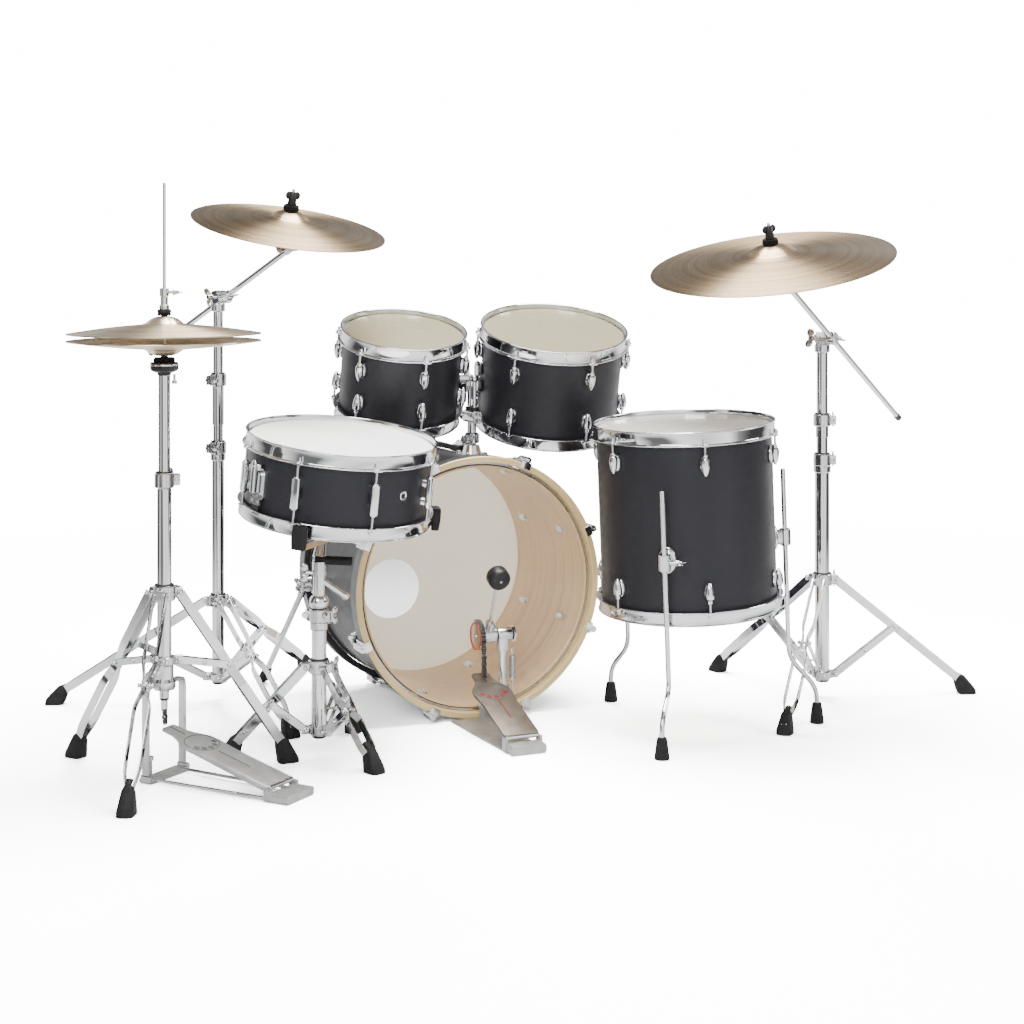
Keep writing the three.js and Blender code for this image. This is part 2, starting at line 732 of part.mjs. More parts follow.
function addSnare() {
  const drum = DRUMS.snare;
  const shell = (drum.inches * INCH) / 2;
  const turn = THREE.MathUtils.degToRad(-163);
  const place = (geometry) => seat(geometry.rotateZ(turn), drum);
  const strainer = place(box([16, 34, 52], [shell + 6, 0, -84]));
  const butt = seat(box([14, 34, 30], [shell + 5, 0, -88]).rotateZ(turn + Math.PI), drum);
  addDrum('snare', MAT.coated, [strainer, butt]);
  const lever = place(box([7, 12, 58], [shell + 18.2, 0, -72]));
  addPiece('snare_throw_off_lever', lever, MAT.chrome);
  const bed = drum.height - HEAD.crown + 0.5;
  const wires = seat(box([300, 42, 2], [0, 0, -bed - 1]).rotateZ(turn), drum);
  addPiece('snare_wires', wires, MAT.steel);
}

// ---- bass drum pedal ---------------------------------------------------------------------------

function addKickPedal() {
  const { x, axleY, axleZ, postX, heelY, tipY, tipZ, beater } = KICK;
  const plate = box([108, 262, 4], [x + 8, -133, 2]);
  const heel = box([76, 44, 20], [x, heelY - 24, 10]);
  const post = rod(vec([postX, axleY, 2]), vec([postX, axleY, axleZ]), 8.5, 14);
  const housing = rod(vec([postX - 12, axleY, axleZ]), vec([postX + 20, axleY, axleZ]), 13, 14);
  const jaw = box([46, 20, 8], [postX - 14, 4, 25]);
  const riser = box([46, 6, 26], [postX - 14, -4.5, 15]);
  const bore = rod(vec([postX - 20, axleY, axleZ]), vec([postX + 21, axleY, axleZ]), 5.7);
  addPiece('kick_frame', join([plate, heel, post, housing, jaw, riser], [bore]), MAT.grey);

  const axle = rod(vec([x - 8, axleY, axleZ]), vec([postX + 26, axleY, axleZ]), 5);
  const cam = rod(vec([x - 6, axleY, axleZ]), vec([x + 6, axleY, axleZ]), 29, 16);
  const hub = rod(vec([x + 5, axleY, axleZ]), vec([postX - 13, axleY, axleZ]), 14, 12);
  const hold = vec([x + 22, axleY, axleZ]);
  const ball = vec([x + 22, beater[0], beater[1]]);
  const toHead = new THREE.Vector3().subVectors(ball, hold).normalize();
  const face = new THREE.Vector3().crossVectors(toHead, new THREE.Vector3(1, 0, 0)).normalize();
  const head = rod(ball.clone().addScaledVector(face, -16), ball.clone().addScaledVector(face, 16), 23, 14);
  const crank = rod(vec([postX + 21, axleY, axleZ]), vec([postX + 26, axleY, axleZ]), 16, 12);
  const shaft = rod(hold, ball, 4);
  addPiece('kick_beater', join([axle, cam, hub, shaft, head, crank]), MAT.chrome);

  const heelTop = vec([x, heelY, 30]);
  const tip = vec([x, tipY, tipZ]);
  const middle = new THREE.Vector3().lerpVectors(heelTop, tip, 0.66);
  const board = bar(heelTop, middle, 72, 6);
  const back = new THREE.Vector3().subVectors(heelTop, tip).normalize();
  const nose = bar(middle.clone().addScaledVector(back, 2), tip, 36, 6);
  const pin = rod(vec([x - 34, heelY, 28]), vec([x + 34, heelY, 28]), 5);
  const chain = box([10, 6, 48], [x, axleY - 33, tipZ + 12]);
  addPiece('kick_footboard', join([board, nose, pin, chain]), MAT.grey);
}

// ---- build -------------------------------------------------------------------------------------

addBassDrum();
addTomHolder();
const [smallBlock, smallBore] = tomBracket(TOM_ARMS.small, 4, 29);
addDrum('tom_small', MAT.clear, [smallBlock], [smallBore]);
const [midBlock, midBore] = tomBracket(TOM_ARMS.mid, 61, 78);
addDrum('tom_mid', MAT.clear, [midBlock], [midBore]);
addFloorTom();
addSnare();
addSnareStand();
addHatChassis();
addHatTripod();
addHats();
addHatFootboard();
addCymbalStand('crash', CRASH);
addCymbalStand('ride', RIDE);
addKickPedal();

export default kit;
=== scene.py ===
import math
from math import cos, pi, radians, sin

import bmesh
import bpy
from mathutils import Matrix, Vector


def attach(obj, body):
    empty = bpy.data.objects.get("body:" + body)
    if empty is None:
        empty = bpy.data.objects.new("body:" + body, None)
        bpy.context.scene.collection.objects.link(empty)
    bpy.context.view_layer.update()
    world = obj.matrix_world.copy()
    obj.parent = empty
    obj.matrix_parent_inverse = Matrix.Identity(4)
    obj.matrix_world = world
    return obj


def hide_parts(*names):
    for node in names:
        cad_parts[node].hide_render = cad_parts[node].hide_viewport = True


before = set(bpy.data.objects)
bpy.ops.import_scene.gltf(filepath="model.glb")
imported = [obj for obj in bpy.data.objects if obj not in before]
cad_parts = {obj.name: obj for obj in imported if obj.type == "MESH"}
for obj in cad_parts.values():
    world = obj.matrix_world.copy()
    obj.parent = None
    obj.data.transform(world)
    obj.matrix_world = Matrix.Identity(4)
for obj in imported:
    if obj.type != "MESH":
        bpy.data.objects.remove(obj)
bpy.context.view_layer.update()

# Lengths below are millimetres in the bass drum's frame; a mesh is scaled to metres when it is built.
MM = 0.001
CENTRE = Vector((104.55, 47.96, 0))
INCH = 25.4
UP = Vector((0, 0, 1))
ALONG_X = (1, 0, 0)
ALONG_Y = (0, 1, 0)
STANDING = "floor_standing"


def vec(*p):
    return Vector(p)


def moved(x, y, z):
    return Matrix.Translation((x, y, z))


def polar(angle, radius, z=0):
    return vec(radius * cos(radians(angle)), radius * sin(radians(angle)), z)


# ---- materials ---------------------------------------------------------------------------------


def ramp_of(tree, source, stops):
    """A ramp through stops of a place and either a colour or a grey value."""
    ramp = tree.nodes.new("ShaderNodeValToRGB")
    elements = ramp.color_ramp.elements
    while len(elements) < len(stops):
        elements.new(0.5)
    for element, (place, colour) in zip(elements, stops):
        element.position = place
        element.color = (*(colour if isinstance(colour, tuple) else (colour,) * 3), 1)
    tree.links.new(source, ramp.inputs["Fac"])
    return ramp.outputs["Color"]


class Nodes:
    """A material's node tree with one shader, built by name."""

    def __init__(self, name):
        self.material = bpy.data.materials.new(name)
        self.material.use_nodes = True
        self.tree = self.material.node_tree
        self.shader = self.tree.nodes["Principled BSDF"]
        self.output = self.tree.nodes["Material Output"]

    def node(self, kind, **settings):
        made = self.tree.nodes.new(kind)
        for key, value in settings.items():
            setattr(made, key, value)
        return made

    def link(self, source, target):
        self.tree.links.new(source, target)

    def base(self, colour, roughness, metallic=0.0, coat=0.0):
        inputs = self.shader.inputs
        inputs["Base Color"].default_value = (*colour, 1)
        inputs["Roughness"].default_value = roughness
        inputs["Metallic"].default_value = metallic
        inputs["Coat Weight"].default_value = coat

    def noise(self, scale, detail=3.0, stretch=(1, 1, 1), coords="Object"):
        where = self.node("ShaderNodeTexCoord")
        mapping = self.node("ShaderNodeMapping")
        mapping.inputs["Scale"].default_value = stretch
        texture = self.node("ShaderNodeTexNoise")
        texture.inputs["Scale"].default_value = scale
        texture.inputs["Detail"].default_value = detail
        self.link(where.outputs[coords], mapping.inputs["Vector"])
        self.link(mapping.outputs["Vector"], texture.inputs["Vector"])
        return texture.outputs["Fac"]

    def spread(self, source, low, high):
        span = self.node("ShaderNodeMapRange")
        span.inputs["From Min"].default_value = 0.3
        span.inputs["From Max"].default_value = 0.7
        span.inputs["To Min"].default_value = low
        span.inputs["To Max"].default_value = high
        self.link(source, span.inputs["Value"])
        return span.outputs["Result"]

    def colours(self, source, stops):
        return ramp_of(self.tree, source, stops)

    def bump(self, source, distance, strength=1.0):
        made = self.node("ShaderNodeBump")
        made.inputs["Distance"].default_value = distance
        made.inputs["Strength"].default_value = strength
        self.link(source, made.inputs["Height"])
        self.link(made.outputs["Normal"], self.shader.inputs["Normal"])


def chrome(name, colour, low, high):
    """Bright metal with soft smudges that change how sharply it reflects."""
    n = Nodes(name)
    n.base(colour, low, metallic=1)
    n.link(n.spread(n.noise(22, 4), low, high), n.shader.inputs["Roughness"])
    n.bump(n.noise(260, 2), 0.00002, 0.25)
    return n.material


def lacquer():
    """Satin dark grey lacquer over wood: soft sheen with a faint mottle."""
    n = Nodes("satin_lacquer")
    n.base((0.02, 0.02, 0.023), 0.42)
    n.shader.inputs["Specular IOR Level"].default_value = 0.25
    n.link(n.colours(n.noise(7, 4), [(0.3, (0.0148, 0.0144, 0.0185)), (0.7, (0.0182, 0.0178, 0.0224))]),
           n.shader.inputs["Base Color"])
    n.link(n.spread(n.noise(35, 5), 0.38, 0.46), n.shader.inputs["Roughness"])
    n.bump(n.noise(900, 2), 0.00003, 0.35)
    return n.material


def wood(name, light, dark, stretch, roughness=0.42):
    """Clear-lacquered wood with long grain along the first stretched direction."""
    n = Nodes(name)
    n.base(light, roughness, coat=0.2)
    grain = n.noise(3.0, 7, stretch, "UV")
    n.link(n.colours(grain, [(0.25, dark), (0.5, light), (0.75, tuple(c * 1.08 for c in light))]),
           n.shader.inputs["Base Color"])
    n.link(n.spread(grain, roughness - 0.06, roughness + 0.08), n.shader.inputs["Roughness"])
    n.bump(grain, 0.0001, 0.3)
    return n.material


def bronze(name, dark, light):
    """Lathed cymbal bronze: fine circular grooves with a brushed sheen around the axis."""
    n = Nodes(name)
    n.base(light, 0.3, metallic=1)
    where = n.node("ShaderNodeTexCoord")
    split = n.node("ShaderNodeSeparateXYZ")
    n.link(where.outputs["Object"], split.inputs["Vector"])
    flat = n.node("ShaderNodeCombineXYZ")
    n.link(split.outputs["X"], flat.inputs["X"])
    n.link(split.outputs["Y"], flat.inputs["Y"])
    radius = n.node("ShaderNodeVectorMath", operation="LENGTH")
    n.link(flat.outputs["Vector"], radius.inputs[0])
    rings = n.node("ShaderNodeTexNoise", noise_dimensions="1D")
    rings.inputs["Scale"].default_value = 420
    rings.inputs["Detail"].default_value = 4
    n.link(radius.outputs["Value"], rings.inputs["W"])
    bands = n.node("ShaderNodeTexNoise", noise_dimensions="1D")
    bands.inputs["Scale"].default_value = 45
    bands.inputs["Detail"].default_value = 2
    n.link(radius.outputs["Value"], bands.inputs["W"])
    n.link(n.colours(bands.outputs["Fac"], [(0.3, dark), (0.7, light)]), n.shader.inputs["Base Color"])
    n.link(n.spread(rings.outputs["Fac"], 0.26, 0.4), n.shader.inputs["Roughness"])
    n.shader.inputs["Anisotropic"].default_value = 0.8
    n.shader.inputs["Anisotropic Rotation"].default_value = 0.25
    tangent = n.node("ShaderNodeTangent", direction_type="RADIAL", axis="Z")
    n.link(tangent.outputs["Tangent"], n.shader.inputs["Tangent"])
    n.bump(rings.outputs["Fac"], 0.00012, 0.5)
    return n.material


def film(name, colour, body, gloss):
    """Drum head film: partly see-through, partly milky, with a soft reflection."""
    n = Nodes(name)
    n.base(colour, gloss, coat=0.3)
    n.link(n.spread(n.noise(5, 3), gloss, gloss + 0.08), n.shader.inputs["Roughness"])
    n.shader.inputs["Alpha"].default_value = body
    return n.material


def milky(name, colour, through):
    """Coated film that also lets light from its far side glow through."""
    n = Nodes(name)
    n.base(colour, 0.4)
    n.link(n.spread(n.noise(8, 3), 0.34, 0.46), n.shader.inputs["Roughness"])
    glow = n.node("ShaderNodeBsdfTranslucent")
    glow.inputs["Color"].default_value = (*colour, 1)
    mix = n.node("ShaderNodeMixShader")
    mix.inputs[0].default_value = through
    n.link(n.shader.outputs[0], mix.inputs[1])
    n.link(glow.outputs[0], mix.inputs[2])
    n.link(mix.outputs[0], n.output.inputs["Surface"])
    return n.material


def coated():
    n = Nodes("coated_film")
    n.base((0.80, 0.79, 0.75), 0.5)
    n.link(n.colours(n.noise(9, 3), [(0.3, (0.87, 0.865, 0.84)), (0.7, (0.92, 0.915, 0.89))]),
           n.shader.inputs["Base Color"])
    n.bump(n.noise(1400, 3), 0.0001, 0.5)
    return n.material


def plain(name, colour, low, high, scale=60, metallic=0.0, relief=0.00005, shine=0.5):
    n = Nodes(name)
    n.base(colour, low, metallic)
    n.shader.inputs["Specular IOR Level"].default_value = shine
    darker = tuple(c * 0.8 for c in colour)
    n.link(n.colours(n.noise(scale, 4), [(0.3, darker), (0.65, colour)]), n.shader.inputs["Base Color"])
    n.link(n.spread(n.noise(scale * 2, 3), low, high), n.shader.inputs["Roughness"])
    n.bump(n.noise(scale * 8, 2), relief, 0.4)
    return n.material


CHROME = chrome("bright_chrome", (0.70, 0.71, 0.72), 0.05, 0.12)
STEEL = chrome("brushed_steel", (0.52, 0.52, 0.53), 0.22, 0.34)
CAST = plain("cast_alloy", (0.48, 0.48, 0.475), 0.32, 0.44, 40, 0.75)
KICK_CAST = plain("warm_cast_alloy", (0.16, 0.137, 0.108), 0.34, 0.46, 40, 0.7)
CASTING = plain("polished_casting", (0.66, 0.66, 0.67), 0.14, 0.24, 30, 1.0)
LACQUER = lacquer()
HOOP_WOOD = wood("hoop_maple", (0.80, 0.59, 0.28), (0.66, 0.45, 0.19), (1.2, 60, 60))
INNER_WOOD = wood("shell_interior", (0.70, 0.465, 0.22), (0.54, 0.335, 0.145), (0.8, 22, 22), 0.5)
DARK_EDGE = plain("hoop_outer_lacquer", (0.030, 0.030, 0.034), 0.3, 0.4, 20)
BRONZE = bronze("cymbal_bronze", (0.285, 0.20, 0.115), (0.41, 0.30, 0.18))
# The hi-hats take a lighter copy of the cymbal bronze: painted light that makes up for how the lamps fall on
# their nearly edge-on faces.
HAT_BRONZE_PAINTED_LIGHTER = bronze("hihat_bronze_painted_lighter", (0.52, 0.41, 0.27), (0.70, 0.57, 0.40))
TOM_FILM = film("tom_film", (0.33, 0.30, 0.195), 0.56, 0.25)
FLOOR_TOM_FILM = film("floor_tom_film", (0.74, 0.71, 0.64), 0.62, 0.22)
CLEAR_FILM = film("clear_film", (0.78, 0.72, 0.60), 0.08, 0.08)
FRONT_FILM = milky("front_film", (0.95, 0.93, 0.85), 0.6)
COATED = coated()
RUBBER = plain("black_rubber", (0.005, 0.005, 0.0055), 0.55, 0.75, 50, shine=0.3)
NYLON = plain("black_nylon", (0.008, 0.008, 0.009), 0.35, 0.5, 80, shine=0.35)
FELT = plain("black_felt", (0.012, 0.0115, 0.011), 0.9, 1.0, 300, 0.0, 0.0006, 0.1)
CHAIN = plain("dark_chain", (0.10, 0.095, 0.09), 0.3, 0.45, 90, 0.9)
RED = plain("red_enamel", (0.20, 0.006, 0.012), 0.35, 0.5, 60)
ORANGE = plain("orange_felt", (0.70, 0.09, 0.03), 0.85, 0.95, 250, 0.0, 0.0004)
DOT = plain("grey_inlay", (0.10, 0.10, 0.10), 0.5, 0.6, 60)

# ---- shapes ------------------------------------------------------------------------------------


def circle(radius, count=16):
    return [(radius * cos(2 * pi * i / count), radius * sin(2 * pi * i / count)) for i in range(count)]


def rect(width, height):
    w, h = width / 2, height / 2
    return [(-w, -h), (w, -h), (w, h), (-w, h)]


def slab(width, height, corner=0.3, steps=3):
    """A rounded rectangle section."""
    r = min(width, height) * corner
    points = []
    for k, (sx, sy) in enumerate([(1, 1), (-1, 1), (-1, -1), (1, -1)]):
        for i in range(steps + 1):
            a = radians(90 * (k + i / steps))
            points.append((sx * (width / 2 - r) + r * cos(a), sy * (height / 2 - r) + r * sin(a)))
    return points


def ring(inner, outer, low, high):
    """A square-edged profile between two radii and two heights."""
    return [(inner, low), (outer, low), (outer, high), (inner, high)]


def lathe(profile, count=48):
    """A solid of revolution about +Z from (radius, z) pairs; a ring closes on itself."""
    co, rings, faces = [], [], []
    for r, z in profile:
        if r < 1e-6:
            rings.append([len(co)])
            co.append((0, 0, z))
        else:
            rings.append(range(len(co), len(co) + count))
            co += [(r * cos(2 * pi * i / count), r * sin(2 * pi * i / count), z) for i in range(count)]
    closes = profile[0][0] > 1e-6
    for a, b in zip(rings, list(rings[1:]) + ([rings[0]] if closes else [])):
        for i in range(count):
            j = (i + 1) % count
            if len(a) == 1 and len(b) == 1:
                continue
            if len(a) == 1:
                faces.append((a[0], b[i], b[j]))
            elif len(b) == 1:
                faces.append((a[i], b[0], a[j]))
            else:
                faces.append((a[i], b[i], b[j], a[j]))
    return co, faces


def fillet(points, radius, steps=5):
    """Rounds the corners of a path."""
    points = [Vector(p) for p in points]
    out = [points[0]]
    for before, corner, after in zip(points, points[1:], points[2:]):
        reach = min(radius, (corner - before).length * 0.45, (after - corner).length * 0.45)
        a = corner + (before - corner).normalized() * reach
        b = corner + (after - corner).normalized() * reach
        for i in range(steps + 1):
            t = i / steps
            out.append(a * (1 - t) ** 2 + corner * 2 * t * (1 - t) + b * t ** 2)
    out.append(points[-1])
    return out


def sweep(path, section, side=None, scale=None, loop=False):
    """Carries a section along a path. side, when given, is the section's fixed first direction."""
    path = [Vector(p) for p in path]
    co, faces = [], []
    count, last = len(section), len(path) - 1
    x = None
    for i, p in enumerate(path):
        before = path[i - 1] if (i > 0 or loop) else p
        after = path[(i + 1) % len(path)] if (i < last or loop) else p
        t = (after - before).normalized()
        if side is not None:
            x = Vector(side)
        elif x is None:
            x = t.orthogonal()
        x = (x - t * x.dot(t)).normalized()
        y = t.cross(x)
        k = scale[i] if scale else 1
        co += [p + x * u * k + y * v * k for u, v in section]
    for i in range(last + (1 if loop else 0)):
        a, b = i * count, ((i + 1) % len(path)) * count
        for j in range(count):
            m = (j + 1) % count
            faces.append((a + j, a + m, b + m, b + j))
    if not loop:
        faces.append(tuple(reversed(range(count))))
        faces.append(tuple(range(last * count, last * count + count)))
    return co, faces


def bar(a, b, section, side=None, scale=None):
    return sweep([a, b], section, side, scale)


def rod(a, b, radius, count=20):
    return bar(a, b, circle(radius, count))


def cone(a, b, ra, rb, count=20):
    return bar(a, b, circle(1, count), scale=[ra, rb])


def box(size, centre=(0, 0, 0)):
    x, y, z = (s / 2 for s in size)
    c = Vector(centre)
    return sweep([c + vec(0, 0, -z), c + vec(0, 0, z)], rect(2 * x, 2 * y), side=ALONG_X)


def ball(radius, centre=(0, 0, 0), squash=(1, 1, 1), count=20):
    profile = [(radius * sin(pi * i / 12), -radius * cos(pi * i / 12)) for i in range(13)]
    co, faces = lathe([(abs(r) if 0 < i < 12 else 0, z) for i, (r, z) in enumerate(profile)], count)
    return [Vector((x * squash[0], y * squash[1], z * squash[2])) + Vector(centre) for x, y, z in co], faces


def blob(width, depth, height, count=20):
    """An ellipsoid about the origin from its half sizes."""
    return ball(1, (0, 0, 0), (width, depth, height), count)


def helix(a, b, radius, turns, wire):
    a, b = Vector(a), Vector(b)
    axis = (b - a).normalized()
    x = axis.orthogonal().normalized()
    y = axis.cross(x)
    steps = int(turns * 14)
    path = []
    for i in range(steps + 1):
        angle = 2 * pi * turns * i / steps
        path.append(a.lerp(b, i / steps) + x * radius * cos(angle) + y * radius * sin(angle))
    return sweep(path, circle(wire, 7))


def look(origin, z, x=None):
    """A rigid frame at origin whose +Z runs along z."""
    z = Vector(z).normalized()
    x = Vector(x) if x is not None else (vec(1, 0, 0) if abs(z.z) > 0.9 else UP)
    y = z.cross(x).normalized()
    x = y.cross(z)
    m = Matrix((x, y, z)).transposed().to_4x4()
    m.translation = origin
    return m


def spun(angle):
    """A frame turned about +Z whose +X points outward at an angle."""
    return Matrix.Rotation(radians(angle), 4, "Z")


class Shape:
    """Closed solids of several materials that become one mesh."""

    def __init__(self):
        self.co, self.faces, self.paint = [], [], []

    def add(self, part, material, place=None):
        co, faces = part
        start = len(self.co)
        self.co += [place @ Vector(c) if place is not None else Vector(c) for c in co]
        self.faces += [tuple(i + start for i in f) for f in faces]
        self.paint += [material] * len(faces)
        return self

    def turned(self, profile, count, material, place=None):
        return self.add(lathe(profile, count), material, place)

    def on_floor(self, part, material):
        """Adds a part with whatever is below the floor pressed flat on it."""
        co, faces = part
        return self.add(([vec(c[0], c[1], max(c[2], 0)) for c in co], faces), material)

    def build(self, name, body, nodes=(), slot=None, place=None, bevel=0.5, uv=None):
        mesh = bpy.data.meshes.new(name)
        mesh.from_pydata([c * MM for c in self.co], [], self.faces)
        kinds = list(dict.fromkeys(self.paint))
        for kind in kinds:
            mesh.materials.append(kind)
        for polygon, kind in zip(mesh.polygons, self.paint):
            polygon.material_index = kinds.index(kind)
            polygon.use_smooth = True
        outward(mesh)
        if uv:
            around_uv(mesh, uv)
        mesh.set_sharp_from_angle(angle=radians(32))
        thing = bpy.data.objects.new(name, mesh)
        bpy.context.scene.collection.objects.link(thing)
        rest = Matrix.Identity(4) if place is None else place.copy()
        rest.translation = (rest.translation - CENTRE) * MM
        thing.matrix_world = rest
        if bevel:
            soften = thing.modifiers.new("soft_edges", "BEVEL")
            soften.width = bevel * MM
            soften.segments = 2
            soften.limit_method = "ANGLE"
            soften.angle_limit = radians(38)
            soften.harden_normals = True
            soften.use_clamp_overlap = True
        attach(thing, body)
        if nodes:
            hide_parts(*nodes)
        return thing


def outward(mesh):
    bm = bmesh.new()
    bm.from_mesh(mesh)
    bmesh.ops.recalc_face_normals(bm, faces=bm.faces)
    bm.to_mesh(mesh)
    bm.free()


def around_uv(mesh, axis_scale):
    """UV that runs around the local Z axis in metres, with height and radius across it."""
    layer = mesh.uv_layers.new(name="around")
    for polygon in mesh.polygons:
        angles = []
        for i in polygon.vertices:
            co = mesh.vertices[i].co
            angles.append(math.atan2(co.y, co.x))
        if max(angles) - min(angles) > pi:
            angles = [a + 2 * pi if a < 0 else a for a in angles]
        for loop, i, a in zip(polygon.loop_indices, polygon.vertices, angles):
            co = mesh.vertices[i].co
            reach = math.hypot(co.x, co.y)
            layer.data[loop].uv = (a * axis_scale * MM, co.z + reach)


# ---- shared hardware ---------------------------------------------------------------------------


def wing(shape, origin, axis, size=1.0, tilt=0.0):
    """A two-winged bolt head."""
    place = look(Vector(origin), axis) @ spun(tilt)
    hub = [(0, 0), (5.5, 0), (5.5, 4), (4.2, 8), (3.4, 11), (0, 11.5)]
    shape.turned([(r * size, z * size) for r, z in hub], 20, CASTING, place)
    for s in (-1, 1):
        centre = (s * 9.5 * size, 0, 9 * size)
        leaf = blob(8.5 * size, 2.3 * size, 7 * size, 16)
        turn = Matrix.Translation(centre) @ Matrix.Rotation(radians(-28 * s), 4, "Y")
        shape.add(leaf, CASTING, place @ turn)


def clamp(shape, centre, inner, z, height, angle, wing_size=1.0):
    """A split collar around a vertical tube, with a nylon insert, two ears and a wing bolt."""
    outer = inner + 6.5
    profile = [(inner, -height / 2), (outer - 1.5, -height / 2), (outer, 2 - height / 2),
               (outer, height / 2 - 2), (outer - 1.5, height / 2), (inner, height / 2)]
    at = moved(centre[0], centre[1], z)
    shape.turned(profile, 32, CASTING, at)
    insert = [(inner - 0.4, height / 2 - 1), (outer - 2.5, height / 2 - 1), (outer - 2.5, height / 2 + 2.2),
              (inner - 0.4, height / 2 + 2.2)]
    shape.turned(insert, 32, NYLON, at)
    face = at @ spun(angle)
    for s in (-1, 1):
        ear = bar((outer - 3, s * 4.6, 0), (outer + 11, s * 4.6, 0), slab(5.5, height * 0.78, 0.4),
                  side=ALONG_Y)
        shape.add(ear, CASTING, face)
    shape.add(rod(vec(outer + 5, -11, 0), vec(outer + 5, 13, 0), 3.1), CHROME, face)
    shape.turned(ring(0, 5.4, 0, 4), 6, CHROME, face @ look(vec(outer + 5, -11, 0), vec(0, 1, 0)))
    tip = face @ vec(outer + 5, 11, 0)
    wing(shape, tip, face.to_3x3() @ vec(0, 1, 0), wing_size)


LEG_SPREAD = [(0.0, 12), (0.08, 12), (0.34, 11), (0.41, 4.2), (0.47, 4.2), (0.54, 14), (0.84, 13),
              (0.93, 4.5), (1.0, 4.5)]
BRACE_AT = 0.44


def tripod(shape, axis, collar_z, hub_z, foot_radius, angles, tube, strap=(2.6, 17)):
    """Double-strap legs with braces, collars and rubber feet around a vertical tube."""
    centre = vec(axis[0], axis[1], 0)
    for angle in angles:
        out = polar(angle, 1)
        side = UP.cross(out)
        top = centre + out * (tube + 13) + UP * collar_z
        foot = centre + out * (foot_radius - 10) + UP * 14
        down = (foot - top).normalized()
        for s in (-1, 1):
            path = [top.lerp(foot, t) + side * s * gap for t, gap in LEG_SPREAD]
            shape.add(sweep(fillet(path, 14), rect(*strap), side=side), CHROME)
        joint = top.lerp(foot, BRACE_AT)
        start = centre + out * (tube + 12) + UP * hub_z
        for s in (-1, 1):
            brace = [start + side * s * 7.5, start.lerp(joint, 0.8) + side * s * 7.5,
                     joint + side * s * 7.2]
            shape.add(sweep(fillet(brace, 10), rect(2.2, 13), side=side), CHROME)
        for point, reach in ((top, 17), (start, 12), (joint, 11.5), (start.lerp(joint, 0.5), 9.5)):
            shape.add(rod(point - side * reach, point + side * reach, 2.6, 12), CHROME)
            for s in (-1, 1):
                shape.add(ball(4.2, point + side * s * reach, count=12), CHROME)
        for z, reach in ((collar_z, 15), (hub_z, 14)):
            lug = sweep([centre + out * (tube + 2) + UP * z, centre + out * (tube + reach + 5) + UP * z],
                        slab(13, 17, 0.35), side=side)
            shape.add(lug, CASTING)
        rubber_foot(shape, foot, down, side)


def rubber_foot(shape, foot, down, side):
    """A boot that leaves the leg's line and stands squarely on the floor."""
    start = foot - down * 40
    lean = (down - UP * 0.75).normalized()
    middle = start + down * 12
    floor_point = middle + lean * (middle.z / -lean.z)
    path = [start, start + down * 5, middle, middle.lerp(floor_point, 0.5), middle.lerp(floor_point, 0.92),
            floor_point - UP * 4]
    shape.on_floor(sweep(path, slab(32, 40, 0.3, 4), side=side, scale=[0.46, 0.52, 0.68, 0.86, 1.0, 0.96]),
                   RUBBER)
    shape.add(sweep([start - down * 9, start + down * 2], slab(12, 15, 0.3), side=side), NYLON)


def collar_ring(shape, axis, inner, outer, z, height):
    half = height / 2
    profile = [(inner, z - half), (outer - 2, z - half), (outer, z - half + 2), (outer, z + half - 2),
               (outer - 2, z + half), (inner, z + half)]
    shape.turned(profile, 32, CASTING, moved(axis[0], axis[1], 0))


def tube(shape, axis, outer, inner, low, high):
    profile = [(inner, low), (outer - 0.6, low), (outer, low + 0.6), (outer, high - 0.6),
               (outer - 0.6, high), (inner, high)]
    shape.turned(profile, 32, CHROME, moved(axis[0], axis[1], 0))


# ---- drums -------------------------------------------------------------------------------------

# Each drum's top centre, the way its axis points, its number of lugs and the angle of the first one.
DRUMS = {
    "snare": dict(inches=14, height=164, top=(-348.7, -141.3, 616.9), normal=(0.057, -0.131, 0.99),
                  lugs=8, first=-87.6, body="snare_drum"),
    "floor_tom": dict(inches=14, height=380, top=(346, -240, 627), normal=(-0.05, -0.02, 0.999),
                      lugs=6, first=-106.5, body="floor_tom"),
    "tom_small": dict(inches=10, height=201, top=(-117, 143, 807), normal=(-0.025, -0.293, 0.956),
                      lugs=6, first=-89, body="small_tom"),
    "tom_mid": dict(inches=12, height=226, top=(217, 105, 806), normal=(-0.049, -0.297, 0.953),
                    lugs=6, first=-83.6, body="mid_tom"),
}
# How far a head's film lies below its hoop's rim, and the film's thickness.
CROWN = 9
FILM = 0.5


def drum_place(drum):
    turn = UP.rotation_difference(Vector(drum["normal"]).normalized())
    m = turn.to_matrix().to_4x4()
    m.translation = Vector(drum["top"])
    return m


def hoop_profile(r):
    return [(r + 4.1, -26.5), (r + 4.1, -1.8), (r + 4.6, -0.5), (r + 5.4, 0), (r + 7.9, 0), (r + 8.7, -0.8),
            (r + 8.6, -1.8), (r + 7.6, -2.4), (r + 6.5, -3.2), (r + 6.2, -5), (r + 6.2, -22.8),
            (r + 6.8, -24.4), (r + 8.2, -25.2), (r + 11.6, -25.3), (r + 12.6, -25.9), (r + 12.8, -27),
            (r + 12.2, -28), (r + 5, -28)]


def rod_through_hoop(shape, place, r, lug_top):
    """A tension rod from its key head, through the hoop's ear, to the lug."""
    ear = bar((r + 8, 0, -26.6), (r + 18, 0, -26.6), slab(17, 3, 0.45), side=ALONG_Y)
    shape.add(ear, CHROME, place)
    shape.add(rod(vec(r + 12, 0, lug_top - 2), vec(r + 12, 0, -20), 2.3, 14), STEEL, place)
    at = place @ moved(r + 12, 0, 0)
    shape.turned([(0, -25.2), (6.2, -25.2), (6.6, -24.4), (6.2, -23.4), (4.2, -23.2), (4.2, -20.6),
                  (0, -20.4)], 20, CHROME, at)
    shape.add(box((5.6, 5.6, 6.5), (0, 0, -17.6)), CHROME, at)


